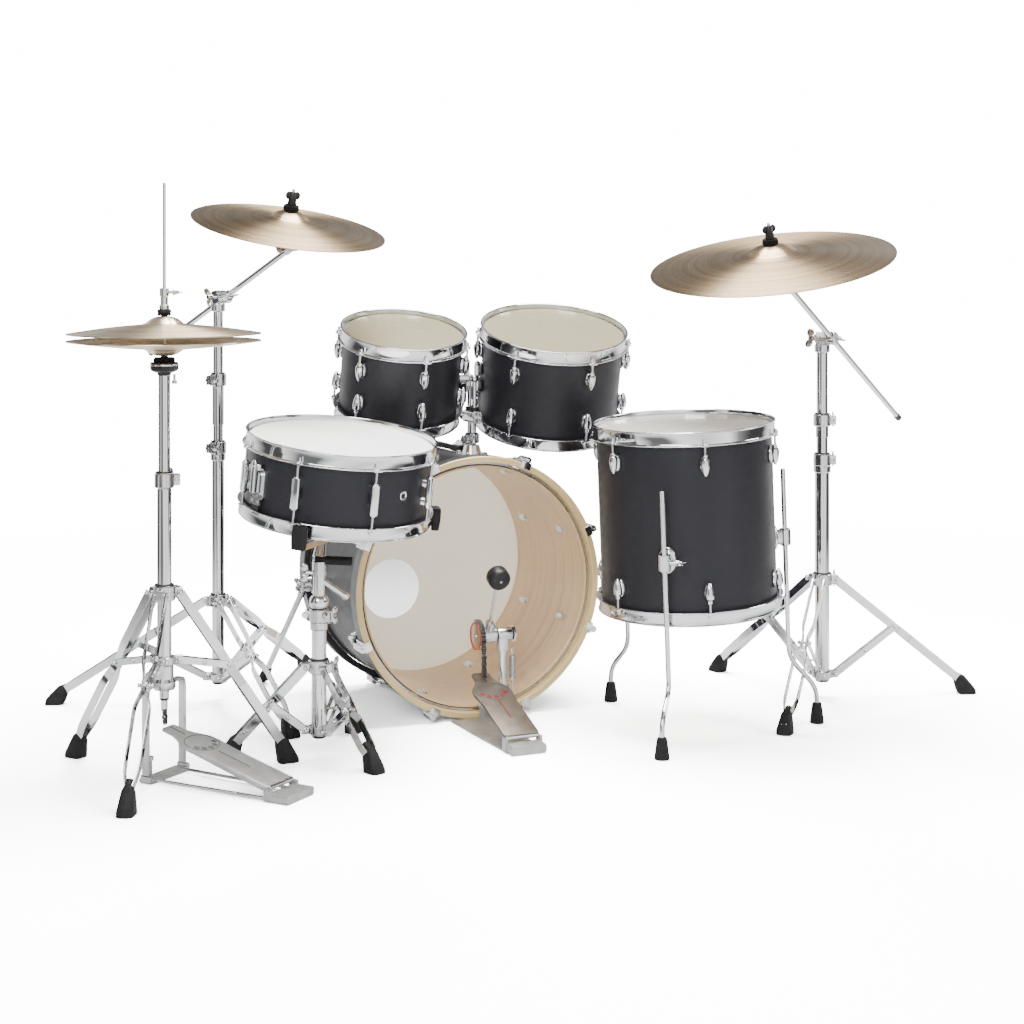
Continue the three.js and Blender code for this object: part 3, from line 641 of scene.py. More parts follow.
def bullet_lug(shape, place, r, top, flip):
    """A teardrop lug: a round nose by the hoop that tapers away from it, on a curved foot."""
    s = -1 if flip else 1
    outline = [(0, 3), (4.6, 3), (5.2, 1.5), (5.2, -3), (6.6, -4), (8.6, -6.5), (9.0, -12), (8.6, -18),
               (7.2, -26), (4.8, -33), (2.2, -37.5), (0, -38.5)]
    co, faces = lathe(outline, 28)
    nose = [vec(r + 11 + x, y, top + s * z) for x, y, z in co]
    shape.add((nose, faces), CHROME, place)
    foot = blob(9, 10, 17.5, 24)
    shape.add(foot, CHROME, place @ moved(r + 2, 0, top - s * 17))
    gasket = blob(3.2, 11.2, 19, 24)
    shape.add(gasket, NYLON, place @ moved(r + 0.2, 0, top - s * 17))


def bridge_lug(shape, place, r, low, high):
    """A two-ended lug: one square bar with a nut at each end, standing on two feet."""
    mid = (low + high) / 2
    for z, s in ((high, 1), (low, -1)):
        nut = [(0, s * 2.5), (4.4, s * 2.5), (5.2, s * 1), (5.6, -s * 3), (0, -s * 3)]
        shape.turned(nut, 24, CHROME, place @ moved(r + 12, 0, z))
        foot = [vec(r - 0.5, 0, z - s * 11), vec(r + 9, 0, z - s * 11)]
        shape.add(sweep(foot, slab(15, 17, 0.35, 4), side=ALONG_Y, scale=[1.15, 1]), CHROME, place)
    bar = [vec(r + 12, 0, low), vec(r + 12, 0, low + 3), vec(r + 12, 0, mid), vec(r + 12, 0, high - 3),
           vec(r + 12, 0, high)]
    section = slab(12.5, 16, 0.25, 4)
    shape.add(sweep(bar, section, side=ALONG_X, scale=[0.86, 1, 0.94, 1, 0.86]), CHROME, place)


def shell_solid(shape, r, low, high, wall=6):
    """A shell tube with bearing edges, lacquered outside and plain wood inside."""
    profile = [(r, low + 3), (r, high - 3), (r - 2.5, high), (r - wall, high - 3.5), (r - wall, low + 3.5),
               (r - 2.5, low)]
    co, faces = lathe(profile, 96)
    start = len(shape.faces)
    shape.add((co, faces), LACQUER)
    for i, face in enumerate(faces):
        reach = sum(math.hypot(co[k][0], co[k][1]) for k in face) / len(face)
        if reach < r - 1.6:
            shape.paint[start + i] = INNER_WOOD


def head_solids(shape, r, crown, film_material, reach=3.6):
    """A head: film with a rounded collar, and the ring that holds it."""
    film_profile = [(0, -crown), (r - 9, -crown), (r - 3, -crown - 0.5), (r + 0.6, -crown - 3),
                    (r + 1.0, -crown - 9), (r + 0.6, -crown - 9), (r + 0.15, -crown - 3.4),
                    (r - 3.2, -crown - 0.5 - FILM), (r - 9, -crown - FILM), (0, -crown - FILM)]
    shape.turned(film_profile, 96, film_material)
    holder = ring(r + 0.6, r + reach, -crown - 13, -crown - 5)
    shape.turned(holder, 96, STEEL)


def turned_over(height):
    return moved(0, 0, -height) @ Matrix.Rotation(pi, 4, "X")


def make_drum(name, batter, bottom):
    drum = DRUMS[name]
    r = drum["inches"] * INCH / 2
    body, height, place = drum["body"], drum["height"], drum_place(drum)
    edge = CROWN + FILM + 0.4
    drop = 53 if name == "snare" else 48
    shell = Shape()
    shell_solid(shell, r, edge - height, -edge)
    for i in range(drum["lugs"]):
        at = spun(drum["first"] + i * 360 / drum["lugs"])
        if name == "snare":
            bridge_lug(shell, at, r, drop - height, -drop)
        else:
            bullet_lug(shell, at, r, -drop, False)
            bullet_lug(shell, at, r, drop - height, True)
    if name == "snare":
        snare_fittings(shell, r, height)
    if name == "floor_tom":
        floor_brackets(shell, r)
    if name.startswith("tom_"):
        air_vent(shell, r, height, drum["first"] + 150)
    shell.build(f"{name}_shell_body", body, [f"{name}_shell"], "shell_lacquer", place, 0.35, uv=r)
    if name.startswith("tom_"):
        tom_bracket(name, drum)
    for part, over, film_material in (("top", False, batter), ("bottom", True, bottom)):
        turn = turned_over(height) if over else Matrix.Identity(4)
        hoop = Shape()
        hoop.turned(hoop_profile(r), 96, CHROME)
        for i in range(drum["lugs"]):
            angle = drum["first"] + i * 360 / drum["lugs"]
            rod_through_hoop(hoop, spun(-angle if over else angle), r, -drop)
        hoop.build(f"{name}_{part}_hoop_ring", body, [f"{name}_{part}_hoop"], "chrome", place @ turn, 0.3)
        head = Shape()
        head_solids(head, r, CROWN, film_material)
        node = f"{name}_batter_head" if part == "top" else f"{name}_bottom_head"
        slot = "coated_head" if film_material == COATED else "drum_head"
        head.build(f"{name}_{part}_film", body, [node], slot, place @ turn, 0)


def air_vent(shape, r, height, angle):
    at = spun(angle)
    eyelet = look(at @ vec(r, 0, -height / 2), at.to_3x3() @ vec(1, 0, 0))
    shape.turned([(3.2, -1), (7, -1), (7.4, 0.6), (6, 1.6), (3.2, 1.2)], 24, CHROME, eyelet)


def snare_fittings(shape, r, height):
    """Strainer body, butt plate and air vent."""
    vent = spun(-65)
    eyelet = look(vent @ vec(r, 0, -height / 2 + 2), vent.to_3x3() @ vec(1, 0, 0))
    shape.turned([(4.2, -1), (8.6, -1), (9, 0.8), (7.4, 2), (4.2, 1.4)], 28, CHROME, eyelet)
    side = spun(STRAINER_ANGLE)
    shape.add(bar((r - 1, 0, -84), (r + 6, 0, -84), slab(40, 58, 0.2), side=ALONG_Y), CASTING, side)
    shape.add(bar((r + 5, 0, -84), (r + 13.5, 0, -84), slab(30, 48, 0.3), side=ALONG_Y), CHROME, side)
    shape.turned([(0, 0), (8, 0), (8, 9), (7, 11), (0, 11)], 24, CHROME, side @ moved(r + 8, 0, -58))
    shape.add(box((5, 30, 12), (r + 9, 0, -118)), CHROME, side)
    for y in (-9, 9):
        shape.add(rod(vec(r + 9, y, -118), vec(r + 12.5, y, -118), 3.2, 12), STEEL, side)
    strap = [vec(r + 9, 0, -120), vec(r + 8.5, 0, -136), vec(r + 4, 0, -148)]
    shape.add(sweep(strap, rect(22, 0.8), side=ALONG_Y), NYLON, side)
    butt = spun(17)
    shape.add(bar((r - 1, 0, -88), (r + 8, 0, -88), slab(36, 34, 0.3), side=ALONG_Y), CHROME, butt)
    shape.add(box((5, 28, 11), (r + 9, 0, -100)), CASTING, butt)


def floor_brackets(shape, r):
    """Leg brackets: a shield on the shell, an eye around the leg and a wing bolt."""
    for angle in FLOOR_LEG_ANGLES:
        at = spun(angle)
        shape.add(blob(10, 19, 27, 28), CHROME, at @ moved(r + 1, 0, BRACKET_Z))
        shape.add(blob(4, 21, 29, 28), NYLON, at @ moved(r, 0, BRACKET_Z))
        shape.add(bar((r + 4, 0, BRACKET_Z), (r + 17, 0, BRACKET_Z), slab(24, 30, 0.35), side=ALONG_Y),
                  CHROME, at)
        eye = [(5.4, -17), (10.5, -17), (12, -15), (12, 15), (10.5, 17), (5.4, 17)]
        shape.turned(eye, 28, CHROME, at @ moved(LEG_REACH, 0, BRACKET_Z))
        shape.add(rod(vec(LEG_REACH, 8, BRACKET_Z), vec(LEG_REACH, 24, BRACKET_Z), 4.2, 16), CHROME, at)
        wing(shape, at @ vec(LEG_REACH, 22, BRACKET_Z), at.to_3x3() @ vec(0, 1, 0), 1.15, 90)


# The legs in the drum's own frame: their angles, their distance from its axis and the brackets' height.
FLOOR_LEG_ANGLES = (-131.6, -17.6, 102.4)
LEG_REACH = 203
BRACKET_Z = -250


def make_floor_legs():
    drum = DRUMS["floor_tom"]
    place = drum_place(drum)
    for i, angle in enumerate(FLOOR_LEG_ANGLES):
        out = polar(angle, LEG_REACH)
        top = place @ vec(out.x, out.y, -110)
        bend = place @ vec(out.x, out.y, -500)
        ankle = bend + polar(angle, 59)
        ankle.z = 72
        foot = vec(ankle.x, ankle.y, 6)
        leg = Shape()
        leg.add(sweep(fillet([top, bend, ankle, foot], 26, 8), circle(5, 20)), CHROME)
        knurl = [bend.lerp(top, t) for t in (0.5, 0.94)]
        leg.add(rod(knurl[0], knurl[1], 5.08, 10), STEEL)
        at = moved(ankle.x, ankle.y, 0)
        boot = [(0, 0), (13.5, 0), (14.5, 1.5), (14.2, 8), (12, 24), (10, 38), (8.6, 42), (0, 43)]
        leg.turned(boot, 28, RUBBER, at)
        for z in (12, 18, 24):
            rib = 13.6 - (z - 8) * 0.13
            leg.turned([(rib, z - 1), (rib + 0.9, z), (rib, z + 1)], 28, RUBBER, at)
        leg.build(f"floor_tom_leg_rod_{i + 1}", STANDING, [f"floor_tom_leg_{i + 1}"], "chrome")


# ---- tom holder --------------------------------------------------------------------------------

HOLDER_X = 45
# Where each tom's arm stands along Y, and the side it turns to.
ARMS = {"tom_small": (145, -1), "tom_mid": (172, 1)}
ARM_TOP = 697


def tom_bracket(name, drum):
    """The block on the shell that grips the holder's level stub, with its rubber-seated plate."""
    y, s = ARMS[name]
    inner, outer = (29, 6) if s < 0 else (61, 76)
    shape = Shape()
    centre = vec((inner + outer) / 2, y, ARM_TOP)
    eye = [(5.6, -abs(outer - inner) / 2), (13, -abs(outer - inner) / 2),
           (14.5, 2 - abs(outer - inner) / 2), (14.5, abs(outer - inner) / 2),
           (5.6, abs(outer - inner) / 2)]
    shape.turned(eye, 32, CASTING, look(centre, vec(s, 0, 0)))
    for dz in (-22, 22):
        pad = look(vec(outer - s * 3, y, ARM_TOP + dz), vec(s, 0, 0))
        shape.turned([(0, -7), (8.5, -7), (9.5, -4), (9.5, 4), (0, 4)], 24, RUBBER, pad)
    shape.add(bar((inner - s, y, ARM_TOP + 1), (inner + s * 7, y, ARM_TOP + 1), slab(24, 62, 0.4),
                  side=ALONG_Y), CASTING)
    shape.add(rod(centre + vec(0, 0, 12), centre + vec(0, -6, 26), 4, 16), CHROME)
    wing(shape, centre + vec(0, -6, 24), vec(0, -0.25, 1), 0.8)
    shape.build(f"{name}_bracket", drum["body"], (), "chrome", bevel=0.4)


def make_tom_holder():
    post = Shape()
    x, y = HOLDER_X, 158
    post.add(bar((x, y, 527), (x, y, 534), slab(60, 74, 0.35, 5), side=ALONG_X), CASTING)
    post.add(bar((x, y, 533), (x, y, 552), slab(36, 40, 0.4, 5), side=ALONG_X, scale=[1.1, 0.82]), CASTING)
    post.add(rod(vec(x, y, 545), vec(x, y, 602), 10, 32), CHROME)
    clamp(post, (x, y), 10, 566, 20, -150, 0.8)
    post.add(bar((x, y - 31, 613), (x, y + 31, 613), slab(22, 26, 0.35, 5), side=ALONG_X), CASTING)
    for sx, sy in ((-24, -30), (24, -30), (-24, 30), (24, 30)):
        post.turned([(0, 534), (4.5, 534), (4.5, 537), (3, 538.5), (0, 538.5)], 16, CHROME,
                    moved(x + sx * 0.85, y + sy * 0.85, 0))
    post.add(rod(vec(x, 130, 613), vec(x, 120, 613), 4, 16), CHROME)
    wing(post, vec(x, 123, 613), vec(0, -1, 0.1), 0.75)
    post.build("tom_holder_post_body", STANDING, ["tom_holder_post"], "chrome")
    for name, (arm_y, s) in ARMS.items():
        arm = Shape()
        path = [vec(x, arm_y, 608), vec(x, arm_y, ARM_TOP), vec(x + s * 26, arm_y, ARM_TOP)]
        arm.add(sweep(fillet(path, 9, 6), circle(5, 24)), CHROME)
        arm.add(ball(9, (x, arm_y, ARM_TOP - 1), count=28), CASTING)
        arm.turned(ring(5, 9, 626.5, 634), 24, NYLON, moved(x, arm_y, 0))
        short = name.split("_")[1]
        arm.build(f"tom_arm_{short}_rod", f"{short}_tom_arm", [f"tom_arm_{short}"], "chrome")


# ---- bass drum ---------------------------------------------------------------------------------

BASS_R = 254
BASS_Z = 272.5
BASS_LENGTH = 391
BASS_CROWN = 16
HOOP_IN, HOOP_OUT, HOOP_DEEP = 259.2, 272.5, 38
PORT_RADIUS, PORT_X, PORT_Z = 66, -62, -60


def bass_place():
    """Local +Z points at the pedal side; the origin is the middle of the pedal-side hoop's face."""
    m = Matrix.Rotation(pi / 2, 4, "X")
    m.translation = (0, 0, BASS_Z)
    return m


def bass_claw(shape, at):
    """A claw over the hoop with its key rod running back to the lug."""
    plate = [vec(HOOP_OUT + 2.2, 0, 1), vec(HOOP_OUT + 2.2, 0, -40)]
    shape.add(sweep(plate, slab(3.4, 24, 0.4), side=ALONG_X), CHROME, at)
    lip = [vec(HOOP_OUT + 3, 0, 1.8), vec(HOOP_OUT - 11, 0, 1.8)]
    shape.add(sweep(lip, slab(3.2, 22, 0.4), side=(0, 0, 1)), CHROME, at)
    shape.add(rod(vec(HOOP_OUT + 8, 0, 3), vec(HOOP_OUT + 8, 0, -38), 7.4, 24), CHROME, at)
    shape.add(box((5.6, 5.6, 10), (HOOP_OUT + 8, 0, 7)), CHROME, at)
    shape.add(rod(vec(HOOP_OUT + 8, 0, -36), vec(HOOP_OUT + 5, 0, -74), 3, 16), STEEL, at)


def bass_lug(shape, at, z):
    shape.add(blob(16, 11, 27, 28), CHROME, at @ moved(BASS_R + 2, 0, z))
    shape.add(blob(4, 13, 29, 28), NYLON, at @ moved(BASS_R, 0, z))
    nose = [(0, 26), (5.6, 26), (7.6, 22), (8, 8), (6, -10), (0, -16)]
    s = 1 if z > -200 else -1
    shape.turned([(r, k * s) for r, k in nose], 24, CHROME, at @ moved(BASS_R + 15, 0, z))


def make_bass_drum():
    place = bass_place()
    edge = BASS_CROWN + FILM + 0.4
    shell = Shape()
    shell_solid(shell, BASS_R, edge - BASS_LENGTH, -edge, 7)
    for i in range(8):
        at = spun(22.5 + 45 * i)
        for z in (-95, 95 - BASS_LENGTH):
            bass_lug(shell, at, z)
            for k in (-14, 14):
                screw = look(at @ vec(BASS_R - 7, 0, z + k), at.to_3x3() @ vec(-1, 0, 0))
                shell.turned([(0, 0), (9, 0), (9, 1.2), (5, 1.8), (5, 4.4), (0, 4.8)], 16, STEEL, screw)
    for side in (-1, 1):
        shell.add(bar((0, 0, 0), (0, 0, 9), slab(44, 44, 0.3, 5), side=ALONG_X), CASTING,
                  moved(side * 252, -26.5, -330) @ look(vec(0, 0, 0), vec(side, 0, 0)))
    shell.build("bass_shell_body", STANDING, ["bass_shell"], "shell_lacquer", place, 0.35, uv=BASS_R)

    for name, over in (("batter", False), ("front", True)):
        turn = turned_over(BASS_LENGTH) if over else Matrix.Identity(4)
        hoop = Shape()
        profile = [(HOOP_IN, -1.5), (HOOP_IN + 1.5, 0), (HOOP_OUT - 2, 0), (HOOP_OUT, -2),
                   (HOOP_OUT, 2 - HOOP_DEEP), (HOOP_OUT - 2, -HOOP_DEEP), (HOOP_IN + 1, -HOOP_DEEP),
                   (HOOP_IN, 1 - HOOP_DEEP)]
        co, faces = lathe(profile, 128)
        hoop.add((co, faces), HOOP_WOOD)
        for i, face in enumerate(faces):
            outside = min(math.hypot(co[k][0], co[k][1]) for k in face) > HOOP_OUT - 0.5
            behind = max(co[k][2] for k in face) < 2.5 - HOOP_DEEP
            if outside or behind:
                hoop.paint[i] = DARK_EDGE
        hoop.build(f"bass_{name}_hoop_wood", STANDING, [f"bass_{name}_hoop"], "maple", place @ turn, 0,
                   uv=265)
        claws = Shape()
        for i in range(8):
            bass_claw(claws, spun(22.5 + 45 * i))
        claws.build(f"bass_{name}_claws", STANDING, (), "chrome", place @ turn, 0.4)

    batter = Shape()
    head_solids(batter, BASS_R, BASS_CROWN, CLEAR_FILM, 4.4)
    batter.build("bass_batter_film", STANDING, ["bass_batter_head"], "drum_head", place, 0)
    front = Shape()
    front_head(front)
    front.build("bass_front_film", STANDING, ["bass_front_head"], "coated_head",
                place @ turned_over(BASS_LENGTH), 0)


def front_head(shape):
    """The front head: a film with an off-centre round port, held by a steel ring at its edge."""
    r, crown, count = BASS_R, BASS_CROWN, 96
    hole = vec(PORT_X, -PORT_Z, 0)
    co, faces = [], []
    for z in (-crown, -crown - FILM):
        for k in range(7):
            t = k / 6
            for i in range(count):
                a = 2 * pi * i / count
                near = hole + vec(PORT_RADIUS * cos(a), PORT_RADIUS * sin(a), 0)
                far = vec((r - 4) * cos(a), (r - 4) * sin(a), 0)
                p = near.lerp(far, t)
                co.append(vec(p.x, p.y, z))
    for layer in range(2):
        for k in range(6):
            for i in range(count):
                j = (i + 1) % count
                a = (layer * 7 + k) * count
                faces.append((a + i, a + j, a + count + j, a + count + i))
    for k in (0, 6):
        for i in range(count):
            j = (i + 1) % count
            faces.append((k * count + i, k * count + j, (7 + k) * count + j, (7 + k) * count + i))
    shape.add((co, faces), FRONT_FILM)
    collar = [(r - 4, -crown), (r + 0.6, -crown - 3), (r + 1, -crown - 9), (r + 0.5, -crown - 9),
              (r, -crown - 3.4), (r - 4.2, -crown - FILM)]
    shape.turned(collar, 96, FRONT_FILM)
    holder = ring(r + 0.6, r + 4.4, -crown - 13, -crown - 5)
    shape.turned(holder, 96, STEEL)


def make_spurs():
    for name, s in (("left", -1), ("right", 1)):
        spur = Shape()
        pivot = vec(s * 262, 330, 246)
        tip = vec(s * 326, 501, 0)
        out = vec(s, 0, 0)
        start = pivot + out * 14
        down = (tip - start).normalized()
        boss = [(0, 1.5), (17, 1.5), (18, 3), (18, 10), (15, 16), (15, 24), (12, 27), (0, 27)]
        spur.turned(boss, 32, CASTING, look(pivot, out))
        spur.add(rod(start - down * 16, tip - down * 40, 6.5, 28), CHROME)
        spur.add(cone(tip - down * 46, tip - down * 16, 9.5, 12, 28), RUBBER)
        spur.on_floor(cone(tip - down * 16, tip + down * 2, 12, 9, 28), RUBBER)
        spur.add(rod(start + down * 22, start + down * 34, 8.4, 28), CASTING)
        wing(spur, pivot + out * 25, out, 0.9, 30)
        spur.build(f"bass_spur_{name}_leg", f"spur_{name}", [f"bass_spur_{name}"], "chrome")


# ---- stands ------------------------------------------------------------------------------------

# A boom stand: radii of its tubes, feet, heights of collar, hub and clamps, the boom's tail, and its cymbal.
CRASH = dict(axis=(-463, 361), tube=(12.9, 10.6), foot=364, angles=(159.7, 39.7, -80.3), collar=219, hub=55,
             lower=560, tail=(-568, 581, 743), clamp=872, centre=(-364, 167, 1022),
             normal=(0.067, -0.251, 0.966), radius=203.2, bell=34, wing=-150)
RIDE = dict(axis=(750, -130), tube=(15.5, 12), foot=342, angles=(-16.1, 103.9, -136.1), collar=258, hub=52,
            lower=530, tail=(1050, 104, 616), clamp=782, centre=(545, -259, 948),
            normal=(-0.213, -0.154, 0.965), radius=254, bell=38, wing=-30)
SNARE_STAND = dict(axis=(-391.5, -126.8), tube=(14.5, 11.5), foot=188, angles=(-71.6, 168.4, 48.4),
                   collar=170, hub=48, lower=280, wing=-60)


def stand_base(name, s, node):
    base = Shape()
    outer, inner = s["tube"]
    tube(base, s["axis"], outer, inner + 0.4, s["hub"] - 12, s["lower"] - 2)
    base.turned([(0, s["hub"] - 16), (outer - 2, s["hub"] - 16), (outer, s["hub"] - 12),
                 (outer, s["hub"] - 8), (0, s["hub"] - 8)], 28, NYLON, moved(s["axis"][0], s["axis"][1], 0))
    tripod(base, s["axis"], s["collar"], s["hub"], s["foot"], s["angles"], outer)
    collar_ring(base, s["axis"], outer - 0.4, outer + 7, s["hub"], 16)
    clamp(base, s["axis"], outer - 0.2, s["collar"], 26, s["wing"], 1.1)
    clamp(base, s["axis"], inner + 0.6, s["lower"] - 12, 26, s["wing"], 1.0)
    collar_ring(base, s["axis"], outer - 0.4, outer + 3, s["lower"] - 32, 16)
    if name == "snare_stand":
        z, r = s["lower"] + 3, inner + 0.4
        socket = [(r, z), (16, z), (18.5, z + 4), (19, z + 13), (17, z + 20), (13, z + 24), (r, z + 24)]
        base.turned(socket, 36, CHROME, moved(s["axis"][0], s["axis"][1], 0))
    base.build(f"{name}_tripod", STANDING, [node], "chrome")


def ratchet(radius, low, high, teeth=28):
    """A toothed disc about +Z, for the faces of a tilter."""
    section = []
    for i in range(teeth * 2):
        a = pi * i / teeth
        r = radius if i % 2 else radius - 1.1
        section.append((r * cos(a), r * sin(a)))
    return bar((0, 0, low), (0, 0, high), section, side=ALONG_X)


def boom_frame(s):
    up = Vector(s["normal"]).normalized()
    hub = Vector(s["centre"]) - up * 42
    pivot = vec(s["axis"][0], s["axis"][1], s["clamp"])
    side = UP.cross(hub - pivot).normalized()
    return up, hub, pivot, side


def make_cymbal_stand(name, s):
    stand_base(name, s, f"{name}_base")
    up, hub, pivot, side = boom_frame(s)
    r = s["tube"][1]
    axis = s["axis"]

    post = Shape()
    tube(post, axis, r, r - 1.6, s["lower"] - 118, s["clamp"] - 12)
    join = s["clamp"] - 178
    tube(post, axis, r + 1.8, r, s["lower"] + 37, join)
    clamp(post, axis, r + 0.6, join, 26, s["wing"], 1.0)
    collar_ring(post, axis, r - 0.3, r + 4.5, s["clamp"] - 22, 18)
    post.add(sweep([pivot - UP * 16, pivot], slab(2 * r, 22, 0.4), side=side, scale=[0.9, 1]), CASTING)
    post.add(ratchet(15, -r, r), CASTING, look(pivot, side))
    post.add(rod(pivot - side * (r + 10), pivot, 4, 16), CHROME)
    wing(post, pivot - side * (r + 6), -side, 1.25, 20)
    post.build(f"{name}_upper_post", f"{name}_upper", [f"{name}_upper_tube"], "chrome")

    boom = Shape()
    shift = side * (r + 11)
    start, near = pivot + shift, hub + shift
    direction = (near - start).normalized()
    tail = start - direction * (start - (Vector(s["tail"]) + shift)).length
    boom.add(rod(tail, near, 6.3, 28), CHROME)
    boom.add(rod(tail - direction * 3, tail + direction * 14, 7.4, 28), NYLON)
    boom.add(ratchet(15, r + 0.5, r + 5), CASTING, look(pivot, side))
    boom.turned([(0, r + 4), (14, r + 4), (14, r + 20), (11, r + 23), (0, r + 23)], 32, CASTING,
                look(pivot, side))
    grip = sweep([start - direction * 15, start + direction * 15], slab(17, 19, 0.4, 4), side=side)
    boom.add(grip, CASTING)
    wing(boom, start + side * 11, side, 1.0, 70)
    boom.add(ratchet(11, -9, 9), CASTING, look(near, side))
    boom.add(rod(near - direction * 26, near - direction * 8, 8.6, 28), CASTING)
    boom.build(f"{name}_boom_arm", f"{name}_boom", [f"{name}_boom"], "chrome")

    make_tilter(name, s, hub, up, side, r)
    cymbal = Shape()
    cymbal.turned(cymbal_profile(s["radius"], s["bell"], 6), 128, BRONZE)
    cymbal.build(f"{name}_cymbal_disc", f"{name}_cymbal", [f"{name}_cymbal"], "bronze",
                 look(Vector(s["centre"]), up), 0)


def make_tilter(name, s, hub, up, side, r):
    """The tilter above the boom's end: toothed knuckle, post, seat, felts and wing nut."""
    tilter = Shape()
    tilter.add(ratchet(11, -9, r + 1.2), CASTING, look(hub, side))
    tilter.add(rod(hub - side * 20, hub, 3.6, 16), CHROME)
    wing(tilter, hub - side * 16, -side, 1.1, 40)
    place = look(hub, up)
    base = s["bell"] + 42
    neck = [(0, -4), (8, -4), (8, base - 34), (6, base - 30), (6, base - 22), (0, base - 22)]
    tilter.turned(neck, 28, CASTING, place)
    tilter.turned([(0, base - 24), (15.5, base - 24), (16.5, base - 22.6), (15.5, base - 21),
                   (0, base - 21)], 32, CHROME, place)
    tilter.turned([(0, base - 21), (15.5, base - 21), (16.6, base - 17), (16, base - 8), (15, base - 4.6),
                   (0, base - 4.6)], 32, FELT, place)
    tilter.turned(ring(0, 4.3, base - 6, base + 20), 20, NYLON, place)
    tilter.turned([(4, base + 1.2), (15.5, base + 1.2), (16.6, base + 4), (16.2, base + 9),
                   (15.2, base + 12), (4, base + 12)], 32, FELT, place)
    nut = [(0, base + 12), (9, base + 12), (9.6, base + 14), (8.4, base + 26), (8, base + 36),
           (5.5, base + 40), (0, base + 40)]
    tilter.turned(nut, 24, NYLON, place)
    for k in (-1, 1):
        leaf = blob(7.5, 4.2, 8.5, 20)
        tilter.add(leaf, NYLON, place @ moved(k * 8.5, 0, base + 33))
    tilter.turned([(0, base + 38), (3.4, base + 38), (3.4, base + 46), (0, base + 47)], 16, STEEL, place)
    tilter.build(f"{name}_tilter_head", f"{name}_tilter", [f"{name}_tilter"], "chrome", bevel=0.3)


def cymbal_profile(radius, bell, hole):
    """Upper and lower faces of a cymbal: a domed bell that flares into a shallow bow."""
    cup = radius * 0.2
    top = [(hole, bell - 0.2)]
    for i in range(1, 9):
        t = i / 8
        top.append((hole + (cup - hole) * t, bell - (bell * 0.42) * t ** 2.2))
    for i in range(1, 4):
        t = i / 4
        top.append((cup + radius * 0.05 * t, bell * (0.58 - 0.06 * t)))
    for i in range(0, 25):
        t = i / 24
        z = bell * 0.505 * (1 - t ** 1.35)
        top.append((cup + radius * 0.055 + (radius * 0.745) * t, z))
    top.append((radius, -0.5))
    under = [(r - (0.3 if r > radius - 1 else 0), z - 1.3) for r, z in reversed(top)]
    return top + under


# ---- snare stand -------------------------------------------------------------------------------

# The way the tilter's handle points, and the basket's arms and the strainer in the drum's own frame.
ASIDE = polar(-23.6, 1)
BASKET_ANGLES = (-126.6, -6.6, 113.4)
STRAINER_ANGLE = -163


